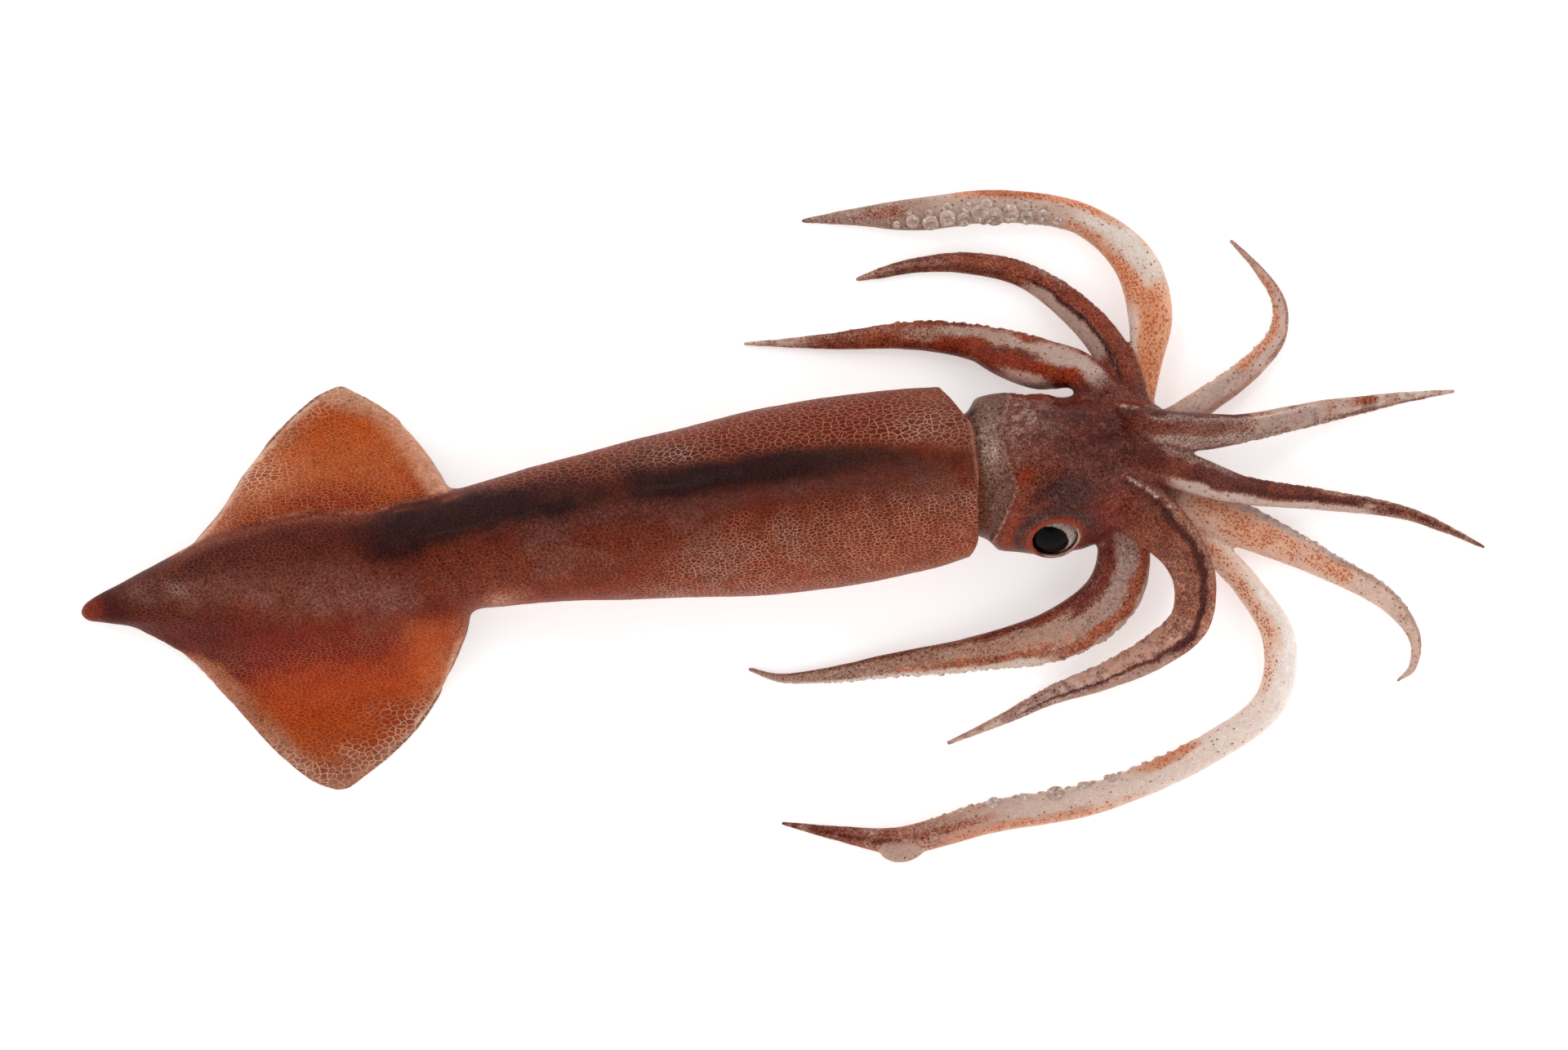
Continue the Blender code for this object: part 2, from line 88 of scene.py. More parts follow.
# Head and neck: (along, half width, sideways centre, underside height, top height).
HEAD = (
    (238.0, 14.5, -0.5, 5.0, 34.0),
    (246.0, 16.0, -0.9, 4.0, 34.6),
    (250.5, 17.5, -1.3, 3.0, 35.0),
    (254.0, 21.3, -1.4, 1.5, 35.6),
    (259.0, 22.2, -1.8, 0.4, 37.0),
    (264.0, 22.7, -2.7, -0.4, 38.0),
    (270.0, 22.2, -3.4, -0.8, 37.8),
    (277.0, 21.2, -4.6, -0.6, 36.4),
    (285.0, 19.6, -3.6, 0.0, 33.4),
    (294.0, 16.6, -2.0, 0.8, 29.6),
    (303.0, 12.0, -1.6, 2.5, 24.0),
    (309.0, 6.0, -1.6, 6.0, 17.0),
)

# Eyes: ball centre, and the way each looks as an angle from straight up, positive to the left.
EYE_RADIUS = 9.0
EYE_RIGHT = ((268.9, -16.8, 22.2), math.radians(-30.0))
EYE_LEFT = ((268.6, 9.6, 18.0), math.radians(112.0))
LID_OPENING = (6.3, 5.9)
LID_SHIFT = (0.6, -1.5)
LID_REACH = 1.18
LID_SIDES = 48
EYE_GAP = 0.3
LID_THICKNESS = 1.0
EYE_DOME = 0.035
PUPIL = (-1.6, -2.1)
PUPIL_SIZE = (5.6, 5.5)

# Limbs, from the crown to the tip: (along, across, width) stations, the height of the root's middle, the
# share of the length after which the limb rests on the surface, how flat the section is, and ridges and
# furrows along it as (angle from straight up towards the limb's left, height as a share of the radius,
# width in degrees).
LIMBS = {
    "arm_1_left": dict(
        stations=(
            (291.0, 6.6, 12.8), (303.3, 3.2, 11.6), (314.4, 1.0, 10.4), (325.8, 0.2, 8.0),
            (348.9, 1.3, 6.4), (360.5, 1.5, 4.8), (372.0, 1.7, 3.1), (386.0, 1.2, 0.9)),
        root=24.6, rest=0.72, flat=0.86, ridges=((20, 0.1, 26), (-35, -0.07, 22))),
    "arm_1_right": dict(
        stations=(
            (289.0, -1.2, 13.6), (301.8, -6.0, 11.6), (312.4, -11.6, 10.2), (323.1, -16.7, 8.0),
            (345.2, -23.0, 5.8), (367.0, -30.1, 3.8), (377.6, -36.2, 2.6), (387.4, -43.0, 0.8)),
        root=25.4, rest=0.72, flat=0.86, ridges=((-15, 0.1, 26), (35, -0.07, 22))),
    "arm_2_left": dict(
        stations=(
            (290.0, 12.0, 11.5), (283.6, 22.8, 10.8), (273.0, 26.6, 14.2), (264.6, 30.7, 13.2),
            (256.3, 35.4, 10.2), (240.1, 39.9, 8.0), (217.4, 42.0, 4.6), (204.0, 43.6, 2.6),
            (192.8, 45.2, 0.8)),
        root=18.0, rest=0.5, flat=0.78, ridges=((30, 0.09, 28), (-30, -0.08, 24))),
    "arm_2_right": dict(
        stations=(
            (289.0, -13.0, 17.0), (298.0, -22.2, 15.2), (303.8, -31.0, 12.8), (305.8, -40.0, 11.6),
            (302.8, -50.3, 11.0), (292.7, -56.9, 9.6), (277.6, -61.7, 7.4), (262.0, -64.8, 5.2),
            (247.7, -69.2, 3.2), (231.4, -73.5, 1.0)),
        root=22.4, rest=0.8, flat=0.8, ridges=((55, 0.12, 24), (26, -0.12, 16))),
    "arm_3_left": dict(
        stations=(
            (295.0, 10.0, 12.0), (293.2, 26.4, 10.4), (284.8, 40.5, 9.1), (272.4, 51.9, 7.0),
            (258.4, 57.4, 6.1), (243.1, 59.2, 4.2), (233.0, 58.5, 3.0), (226.4, 57.8, 1.0)),
        root=12.4, rest=0.45, flat=0.8, ridges=((-10, 0.1, 26), (38, -0.1, 20))),
    "arm_3_right": dict(
        stations=(
            (287.0, -14.0, 12.6), (288.0, -28.0, 14.6), (283.1, -39.6, 15.6), (267.9, -47.9, 14.6),
            (243.1, -50.0, 9.7), (220.2, -49.6, 6.8), (200.0, -49.5, 4.1), (188.0, -48.2, 2.6),
            (180.0, -44.4, 0.9)),
        root=13.0, rest=0.34, flat=0.74, ridges=((-48, 0.1, 24), (5, -0.09, 26))),
    "arm_4_left": dict(
        stations=(
            (300.0, 2.0, 9.0), (317.3, 9.5, 7.6), (330.6, 16.4, 6.7), (339.7, 24.4, 5.3),
            (341.6, 33.3, 3.9), (337.4, 43.1, 2.6), (331.0, 52.4, 0.9)),
        root=8.6, rest=0.4, flat=0.8, ridges=((0, 0.08, 30),)),
    "arm_4_right": dict(
        stations=(
            (298.0, -12.0, 20.4), (311.0, -20.1, 15.0), (321.5, -26.4, 12.4), (342.4, -40.5, 8.0),
            (358.8, -53.8, 6.0), (364.3, -65.0, 3.5), (362.2, -73.0, 2.2), (357.6, -75.9, 0.8)),
        root=9.4, rest=0.45, flat=0.62, ridges=((-10, 0.1, 30), (50, -0.06, 24))),
    "tentacle_left": dict(
        stations=(
            (296.0, 6.0, 8.6), (301.6, 21.1, 9.0), (305.6, 36.0, 12.4), (303.4, 50.8, 12.0),
            (291.0, 64.6, 8.9), (268.1, 71.8, 9.2), (245.4, 73.1, 9.0), (230.0, 75.0, 5.2),
            (214.0, 76.4, 1.0)),
        root=9.4, rest=0.3, flat=0.84, ridges=((-40, 0.05, 30),)),
    "tentacle_right": dict(
        stations=(
            (299.0, -14.0, 9.0), (310.8, -29.4, 7.8), (321.0, -44.2, 7.8), (326.9, -60.0, 9.2),
            (321.6, -76.0, 8.8), (302.8, -86.3, 8.6), (270.5, -94.7, 8.8), (240.0, -95.6, 8.8),
            (214.0, -98.0, 7.6), (198.0, -93.6, 4.3), (182.4, -88.2, 0.9)),
        root=8.4, rest=0.22, flat=0.84, ridges=((30, 0.05, 30),)),
}
LIMB_SINK = 0.5
SECTION_POWER = 2.35
RING_SPACING = 1.0
# The first rings of a limb, over which its ridges grow in.
PLAIN_RINGS = 14
LIMB_SIDES = 36
THINNEST_BUILT = 1.9
# Steps along a curve and for a limb's length, and the spacing of the places that a limb's skin is read from.
SPLINE_STEPS = 400
LENGTH_STEPS = 200
PLACE_SPACING = 0.6

# Funnel under the head: (along, across, height, half width).
FUNNEL = (
    (236.0, -5.0, 9.0, 11.0), (250.0, -5.5, 7.0, 9.5), (262.0, -6.0, 5.2, 6.6), (267.0, -6.2, 4.6, 5.6))
FUNNEL_SIDES = 40
FUNNEL_POWER = 2.2
FUNNEL_RINGS = 30
FUNNEL_FLATNESS = 0.8

# The raised line across the neck where the head's skin ends: (along, across).
COLLAR = (
    (263.5, 19.2), (260.6, 14.0), (258.7, 8.9), (259.6, 2.0), (261.0, -6.9), (256.6, -14.0),
    (252.0, -20.4))
COLLAR_END = 266.0
COLLAR_HEIGHT = 0.8
COLLAR_WIDTH = 0.6

# Suckers: the share of the limb's length where a row starts and ends, the spacing along it, the turn from
# straight up towards the limb's left, and the radius of the largest.
CLUB_ROWS = (
    dict(limb="tentacle_left", start=0.50, end=0.815, spacing=4.5, turn=38.0, radius=2.8),
    dict(limb="tentacle_left", start=0.53, end=0.79, spacing=5.2, turn=-2.0, radius=1.7),
    dict(limb="tentacle_left", start=0.50, end=0.80, spacing=3.4, turn=60.0, radius=1.2),
    dict(limb="tentacle_right", start=0.56, end=0.76, spacing=7.4, turn=-68.0, radius=2.4),
    dict(limb="tentacle_right", start=0.46, end=0.80, spacing=3.7, turn=-84.0, radius=1.2),
)
ARM_ROWS = (
    dict(limb="arm_2_left", start=0.18, end=0.90, spacing=3.1, turn=-112.0, radius=0.8),
    dict(limb="arm_3_left", start=0.18, end=0.90, spacing=2.8, turn=-112.0, radius=0.7),
    dict(limb="arm_3_right", start=0.20, end=0.90, spacing=3.1, turn=104.0, radius=0.9),
    dict(limb="arm_2_right", start=0.24, end=0.90, spacing=3.1, turn=-116.0, radius=0.8),
    dict(limb="arm_4_right", start=0.24, end=0.90, spacing=3.0, turn=76.0, radius=0.7),
    dict(limb="arm_4_left", start=0.24, end=0.88, spacing=2.8, turn=112.0, radius=0.6),
)
# Scallops that the suckers underneath raise along the limbs' edges: the share where they start and end,
# their spacing, the turn from straight up towards the limb's left, and their height.
SCALLOPS = (
    ("arm_2_left", 0.24, 0.62, 3.1, -84.0, 0.50),
    ("arm_3_left", 0.25, 0.60, 2.8, -84.0, 0.25),
    ("arm_3_right", 0.20, 0.86, 3.1, 84.0, 0.50),
    ("arm_2_right", 0.40, 0.84, 3.1, -88.0, 0.35),
    ("arm_4_right", 0.24, 0.80, 3.0, 72.0, 0.40),
    ("arm_4_left", 0.24, 0.90, 2.8, 90.0, 0.35),
    ("arm_1_left", 0.35, 0.92, 2.8, -96.0, 0.30),
    ("arm_1_right", 0.35, 0.92, 2.8, 96.0, 0.30),
    ("tentacle_right", 0.46, 0.80, 3.7, -76.0, 0.45),
)
# The soft lobe under the right tentacle's club: its middle and half sizes.
CLUB_LOBE = ((214.6, -99.8, 3.2), (6.6, 4.4, 3.4))
CUP_SIDES = 14
SUCKER_STEPS = 400
# How far from a limb's middle its skin is looked for.
SKIN_REACH = 20.0
# A sucker's rings: (height, radius) as shares of its radius.
CUP_PROFILE = (
    (-0.9, 0.62), (-0.3, 0.80), (0.04, 0.98), (0.30, 1.0), (0.54, 0.88), (0.66, 0.68), (0.64, 0.50),
    (0.46, 0.36), (0.40, 0.18))

# How fine the meshes are: rings and sides, and the edges of the even meshes.
MANTLE_MESH = (200, 120)
FIN_RIGHT_MESH = (120, 50)
FIN_LEFT_MESH = (110, 44)
HEAD_MESH = (110, 110)
BALL_MESH = (40, 60)
EYE_MESH = (48, 64)
SKIN_VOXEL = 0.66
CROWN_VOXEL = 0.62
POINTS_AT_ONCE = 8000

# The fine pattern's coordinates: slices along the body, how much the flanks' height counts across, from
# how far off the middle, and how far apart the limbs' patterns lie.
SLICE_LENGTH = 6.0
FLANK_STRETCH = 0.57
BACK_WIDTH = 6.0
LANE_GAP = 40.0

# The camera looks straight down at this place, given from the middle of the animal's box.
VIEW_CENTRE = (2.6, 6.8)
VIEW_WIDTH = 436.0
VIEW_TURN = math.radians(-9.0)
VIEW_HEIGHT = 4000.0
SENSOR = 36.0
# In metres.
CLIP_RANGE = (0.05, 20.0)

WHITE = (1.0, 1.0, 1.0, 1.0)
FLOOR_HALF = 1500.0
FLOOR_ROWS = 9
FLOOR_HEIGHT = -0.25
FLOOR_GLOW = 0.42
TENT_LIGHT = 1.40
OVERHEAD_LIGHT = 0.22
LAMP_POWER = 2.0
LAMP_SIZE = 220.0
LAMP_PLACE = (-500.0, 900.0, 1500.0)


def hermite(knots, step, values, tangent, at):
    """Cubic pieces through the values with the given tangents, read at the places."""
    index = np.clip(np.searchsorted(knots, at, side="right") - 1, 0, len(step) - 1)
    h = step[index][:, None]
    t = (at - knots[index])[:, None] / h
    return (
        (2 * t**3 - 3 * t**2 + 1) * values[index]
        + (t**3 - 2 * t**2 + t) * h * tangent[index]
        + (-2 * t**3 + 3 * t**2) * values[index + 1]
        + (t**3 - t**2) * h * tangent[index + 1]
    )


def smooth(stations, at):
    """Monotone cubic interpolation of the columns of stations, whose first column increases."""
    table = np.array(stations, float)
    x, values = table[:, 0], table[:, 1:]
    step = np.diff(x)
    slope = np.diff(values, axis=0) / step[:, None]
    tangent = np.zeros_like(values)
    tangent[0], tangent[-1] = slope[0], slope[-1]
    before, after = slope[:-1], slope[1:]
    w1 = (2 * step[1:] + step[:-1])[:, None]
    w2 = (step[1:] + 2 * step[:-1])[:, None]
    same = before * after > 0
    safe_before = np.where(same, before, 1.0)
    safe_after = np.where(same, after, 1.0)
    tangent[1:-1] = np.where(same, (w1 + w2) / (w1 / safe_before + w2 / safe_after), 0.0)
    at = np.clip(np.atleast_1d(np.asarray(at, float)), x[0], x[-1])
    return hermite(x, step, values, tangent, at)


def spline(points, count):
    """Evenly spaced points along a smooth curve through the points, whose other columns are carried along."""
    points = np.array(points, float)
    chord = np.sqrt(np.linalg.norm(np.diff(points[:, :2], axis=0), axis=1))
    knots = np.concatenate([[0.0], np.cumsum(chord)])
    fine = np.linspace(0.0, knots[-1], SPLINE_STEPS)
    curve = hermite(knots, chord, points, np.gradient(points, knots, axis=0), fine)
    run = np.cumsum(np.linalg.norm(np.diff(curve[:, :2], axis=0), axis=1))
    length = np.concatenate([[0.0], run])
    even = np.linspace(0.0, length[-1], count)
    return np.column_stack([np.interp(even, length, column) for column in curve.T])


def superellipse(count, power):
    """Points of a unit rounded outline, anticlockwise, starting at the left."""
    angle = np.arange(count) * 2 * math.pi / count
    return np.column_stack([np.sign(c) * np.abs(c) ** (2 / power) for c in (np.cos(angle), np.sin(angle))])


def body_outline(sides, power):
    """A unit outline that is squarer below than above."""
    upper, lower = superellipse(sides, power), superellipse(sides, UNDERSIDE_POWER)
    return np.where(upper[:, 1:2] >= 0, upper, lower)


def skin(rings):
    """Points and faces of a closed shell over rings of equal length, with a fan at each end."""
    rings = np.array(rings, float)
    count, sides, _ = rings.shape
    points = [tuple(p) for ring in rings for p in ring]
    faces = []
    for i in range(count - 1):
        for j in range(sides):
            k = (j + 1) % sides
            faces.append((i * sides + j, i * sides + k, (i + 1) * sides + k, (i + 1) * sides + j))
    for ring, first, reverse in ((rings[0], 0, True), (rings[-1], (count - 1) * sides, False)):
        points.append(tuple(ring.mean(axis=0)))
        middle = len(points) - 1
        for j in range(sides):
            a, b = first + j, first + (j + 1) % sides
            faces.append((b, a, middle) if reverse else (a, b, middle))
    return points, faces


def mantle_section(along):
    """Half width, half height, sideways offset and height of the middle."""
    half_width, half_height, offset = smooth(MANTLE, along)[0]
    return half_width, half_height, offset, half_height - MANTLE_SINK


def mantle_surface(along, across):
    """Height of the mantle's upper surface."""
    half_width, half_height, offset, middle = mantle_section(along)
    share = min(1.0, abs(across - offset) / half_width)
    return middle + half_height * (1 - share**MANTLE_POWER) ** (1 / MANTLE_POWER)


def mantle_rings(count, sides):
    """Outer rings from the tail to the rim, then the inside of the rim back to its floor."""
    outline = body_outline(sides, MANTLE_POWER)
    sideways = outline[:, 0]
    slant = RIM_SLANT_LEFT * np.clip((sideways - 0.5) / 0.5, 0.0, 1.0) ** 1.2
    slant += RIM_SLANT_RIGHT * np.clip((0.15 - sideways) / 1.15, 0.0, 1.0) ** 1.15
    slant += RIM_CORNER * np.clip((-sideways - 0.86) / 0.14, 0.0, 1.0) ** 2

    def ring(along, inset, back):
        half_width, half_height, offset, middle = mantle_section(along)
        lean = np.clip((along - 200.0) / 50.0, 0.0, 1.0) ** 2
        return np.column_stack([
            along - back - slant * lean,
            offset + (half_width - inset) * outline[:, 0],
            middle + (half_height - inset) * outline[:, 1],
        ])

    stations = TAIL_TIP + (MANTLE_LENGTH - TAIL_TIP) * np.linspace(0.0, 1.0, count) ** 1.15
    rings = [ring(along, 0.0, 0.0) for along in stations]
    for share, back in RIM_ROUNDING:
        rings.append(ring(MANTLE_LENGTH, share * RIM_WALL, back))
    for extra, back in ((0.4, 0.5), (0.6, 0.5 * RIM_DEPTH), (2.2, RIM_DEPTH)):
        rings.append(ring(MANTLE_LENGTH, RIM_WALL + extra, back))
    return rings


def fin_rings(margin, root_share, side, count, across_count):
    """Rings across the fin at even steps along it: over the top from root to margin and back underneath."""
    steps = np.linspace(margin[0][0], margin[-1][0], count)
    across, top, thickness = (np.zeros((count, across_count)) for _ in range(3))
    u = np.linspace(0.0, 1.0, across_count - 1)
    thick = FIN_EDGE_THICKNESS + (FIN_ROOT_THICKNESS - FIN_EDGE_THICKNESS) * (1 - u) ** 1.6
    thick += 0.6 * np.sin(math.pi * u)
    thick[-1] = FIN_LIP
    edge_height = FIN_EDGE_THICKNESS - 0.1
    for number, along in enumerate(steps):
        edge = smooth(margin, along)[0, 0]
        half_width, _, offset, _ = mantle_section(along)
        root = offset + side * root_share * half_width
        inner = offset + side * (root_share - 0.42) * half_width
        top_root = mantle_surface(along, root)
        reach = max(abs(edge - root), 0.1) if side * (edge - root) > 0 else 0.1
        drop = min(1.0, reach / (1.5 * top_root)) if top_root > 0 else 1.0
        y = root + u * (edge - root)
        fall = np.minimum(1.0, np.abs(y - root) / max(1.35 * top_root, 1.0))
        profile = 0.5 * (1 + np.cos(math.pi * fall))
        z = edge_height + (top_root - edge_height) * (drop * profile + (1 - drop) * (1 - 0.85 * u))
        z[-1] -= 0.2
        across[number] = np.append(inner, y)
        top[number] = np.append(top_root - 1.0, z)
        thickness[number] = np.append(FIN_ROOT_THICKNESS, thick)
    # A steep stretch is as thick as a flat one when measured square to its surface.
    step_across = np.gradient(across, axis=1)
    step_across[np.abs(step_across) < 1e-6] = 1e-6
    slope_across = np.gradient(top, axis=1) / step_across
    climb = np.gradient(top, axis=0) - slope_across * np.gradient(across, axis=0)
    slope_along = climb / (steps[1] - steps[0])
    steep = np.minimum(np.sqrt(1 + slope_across ** 2 + slope_along ** 2), STEEPEST_FIN)
    steep[:, :2] = 1.0
    under = top - thickness * steep
    rings = []
    for number, along in enumerate(steps):
        over = [(along, y, z) for y, z in zip(across[number], top[number])]
        back = [(along, y, z) for y, z in zip(across[number], under[number])]
        rings.append(over + back[::-1])
    return rings


def head_rings(count, sides):
    outline = body_outline(sides, HEAD_POWER)
    rings = []
    for along, half_width, offset, low, high in smooth_rows(HEAD, count):
        middle = low + 0.46 * (high - low)
        tall = np.where(outline[:, 1] >= 0, high - middle, middle - low)
        rings.append(np.column_stack([
            np.full(sides, along),
            offset + half_width * outline[:, 0],
            middle + tall * outline[:, 1],
        ]))
    return rings


def limb_length(limb):
    line = spline(LIMBS[limb]["stations"], LENGTH_STEPS)[:, :2]
    return np.linalg.norm(np.diff(line, axis=0), axis=1).sum()


def limb_line(limb, count):
    """Middle line of a limb and its widths and thicknesses."""
    spec = LIMBS[limb]
    line = spline(spec["stations"], count)
    width = line[:, 2]
    thick = spec["flat"] * width
    share = np.linspace(0.0, 1.0, count)
    fall = 0.5 * (1 + np.cos(math.pi * np.clip(share / spec["rest"], 0.0, 1.0)))
    resting = 0.5 * thick - LIMB_SINK * np.minimum(1.0, thick / 3.0)
    height = resting + (spec["root"] - resting[0]) * fall
    return np.column_stack([line[:, 0], line[:, 1], height]), width, thick


def limb_frames(line):
    """Unit vectors ahead, towards the limb's left and up, at each point of its middle line."""
    ahead = np.gradient(line, axis=0)
    ahead /= np.linalg.norm(ahead, axis=1)[:, None]
    side = np.cross(np.array([0.0, 0.0, 1.0]), ahead)
    side /= np.linalg.norm(side, axis=1)[:, None]
    return ahead, side, np.cross(ahead, side)


def angle_apart(angle, other):
    """Difference of two angles in degrees, between -180 and 180."""
    return (angle - other + 180.0) % 360.0 - 180.0


def limb_rings(limb):
    count = round(limb_length(limb) / RING_SPACING)
    line, width, thick = limb_line(limb, count)
    _, side, up = limb_frames(line)
    degrees = np.arange(LIMB_SIDES) * 360.0 / LIMB_SIDES
    turn = np.radians(degrees)
    power = 2 / SECTION_POWER
    left = np.sign(np.sin(turn)) * np.abs(np.sin(turn)) ** power
    high = np.sign(np.cos(turn)) * np.abs(np.cos(turn)) ** power
    swell = np.ones(LIMB_SIDES)
    for angle, height, spread in LIMBS[limb]["ridges"]:
        swell += height * np.exp(-(angle_apart(degrees, angle) / spread) ** 2)
    rings = []
    for i in range(count):
        ease = min(1.0, i / PLAIN_RINGS)
        grown = 1 + (swell - 1) * ease
        half_width = 0.5 * max(width[i], THINNEST_BUILT)
        half_thick = 0.5 * max(thick[i], THINNEST_BUILT)
        rings.append(
            line[i]
            + (left * grown * half_width)[:, None] * side[i]
            + (high * grown * half_thick)[:, None] * up[i]
        )
    return rings


def round_rings(centre, profile, sides, shape=(1.0, 1.0)):
    """Level rings round a centre, each given by its radius and height, stretched by the shape."""
    angle = np.arange(sides) * 2 * math.pi / sides
    return [
        np.column_stack([
            centre[0] + radius * shape[0] * np.cos(angle),
            centre[1] + radius * shape[1] * np.sin(angle),
            np.full(sides, centre[2] + height),
        ])
        for radius, height in profile
    ]


def round_body(centre, profile, ends, sides):
    """Points and faces of a round body with a profile of radii and heights, closed at the two end heights."""
    points, faces = skin(round_rings(centre, profile, sides))
    points[-2:] = [(centre[0], centre[1], centre[2] + end) for end in ends]
    return points, faces


def ball(centre, radius):
    rows, sides = BALL_MESH
    angles = [math.pi * row / rows for row in range(1, rows)]
    profile = [(radius * math.sin(angle), -radius * math.cos(angle)) for angle in angles]
    return round_body(centre, profile, (-radius, radius), sides)


def turned(points, centre, angle):
    """Points turned about the lengthwise line through the centre, from straight up towards the left."""
    c, s = math.cos(angle), math.sin(angle)
    out = []
    for x, y, z in points:
        dy, dz = y - centre[1], z - centre[2]
        out.append((x, centre[1] + c * dy + s * dz, centre[2] - s * dy + c * dz))
    return out


def eye_opening(centre, radius, angle):
    """A slightly flared plug that opens the lids in front of the eyeball."""
    shifted = (centre[0] + LID_SHIFT[0], centre[1] + LID_SHIFT[1], centre[2])
    profile = ((0.94, 0.35 * radius), (1.06, LID_REACH * radius))
    points, faces = skin(round_rings(shifted, profile, LID_SIDES, LID_OPENING))
    return turned(points, centre, angle), faces


def funnel_rings():
    outline = superellipse(FUNNEL_SIDES, FUNNEL_POWER)
    rings = []
    for along, across, height, half in smooth_rows(FUNNEL, FUNNEL_RINGS):
        rings.append(np.column_stack([
            np.full(FUNNEL_SIDES, along), across + half * outline[:, 0],
            height + FUNNEL_FLATNESS * half * outline[:, 1]]))
    along, across, height, half = FUNNEL[-1]
    for back, share in ((0.6, 0.84), (0.6, 0.66), (-4.0, 0.55)):
        rings.append(np.column_stack([
            np.full(FUNNEL_SIDES, along + back), across + share * half * outline[:, 0],
            height + FUNNEL_FLATNESS * share * half * outline[:, 1]]))
    return rings


def smooth_rows(stations, count):
    """Rows of the stations at even steps of their first column."""
    along = np.linspace(stations[0][0], stations[-1][0], count)
    return np.column_stack([along, smooth(stations, along)])


def in_frame(points):
    """Layout millimetres to metres in the frame."""
    return (np.asarray(points, float) + SHIFT) * MM


def link_object(name, data):
    """A new object in the scene."""
    obj = bpy.data.objects.new(name, data)
    bpy.context.scene.collection.objects.link(obj)
    return obj


def write_layer(mesh, name, kind, field, values):
    """A value for each vertex of the mesh, for its material to read."""
    layer = mesh.attributes.new(name, kind, "POINT")
    layer.data.foreach_set(field, np.array(values).ravel())


def new_object(name, points, faces):
    """An object of the layout's points, with its faces outwards."""
    mesh = bpy.data.meshes.new(name)
    mesh.from_pydata([tuple(p) for p in in_frame(points)], [], faces)
    mesh.validate()
    volume = 0.0
    mesh.calc_loop_triangles()
    for triangle in mesh.loop_triangles:
        a, b, c = (mesh.vertices[i].co for i in triangle.vertices)
        volume += a.dot(b.cross(c))
    if volume < 0:
        mesh.flip_normals()
    return link_object(name, mesh)


def evaluated_mesh(obj):
    graph = bpy.context.evaluated_depsgraph_get()
    return bpy.data.meshes.new_from_object(obj.evaluated_get(graph))


def combine(target, others, operation):
    """One Boolean of the target with a collection of the others, which are then removed."""
    group = bpy.data.collections.new("joining")
    for other in others:
        group.objects.link(other)
    modifier = target.modifiers.new("join", "BOOLEAN")
    modifier.operation = operation
    modifier.operand_type = "COLLECTION"
    modifier.collection = group
    modifier.solver = "MANIFOLD"
    result = evaluated_mesh(target)
    target.modifiers.clear()
    target.data = result
    for other in list(others):
        bpy.data.objects.remove(other)
    bpy.data.collections.remove(group)


def remeshed(obj, voxel):
    """The object's outer skin as an even mesh of four-sided faces, without loose scraps."""
    modifier = obj.modifiers.new("even", "REMESH")
    modifier.mode = "VOXEL"
    modifier.voxel_size = voxel * MM
    mesh = evaluated_mesh(obj)
    obj.modifiers.clear()
    points = np.empty(len(mesh.vertices) * 3)
    mesh.vertices.foreach_get("co", points)
    points = points.reshape(-1, 3) / MM - SHIFT
    sizes = np.empty(len(mesh.polygons), int)
    mesh.polygons.foreach_get("loop_total", sizes)
    corners = np.empty(len(mesh.loops), int)
    mesh.loops.foreach_get("vertex_index", corners)
    quads = corners.reshape(-1, 4) if (sizes == 4).all() else None
    if quads is None:
        raise RuntimeError("the even mesh holds faces that aren't four-sided")
    label = np.arange(len(points))
    while True:
        before = label.copy()
        lowest = label[quads].min(axis=1)
        for corner in range(4):
            np.minimum.at(label, quads[:, corner], lowest)
        label = label[label]
        if (label == before).all():
            break
    kept = label == np.bincount(label).argmax()
    index = np.cumsum(kept) - 1
    quads = index[quads[kept[quads[:, 0]]]]
    bpy.data.objects.remove(obj)
    return points[kept], quads


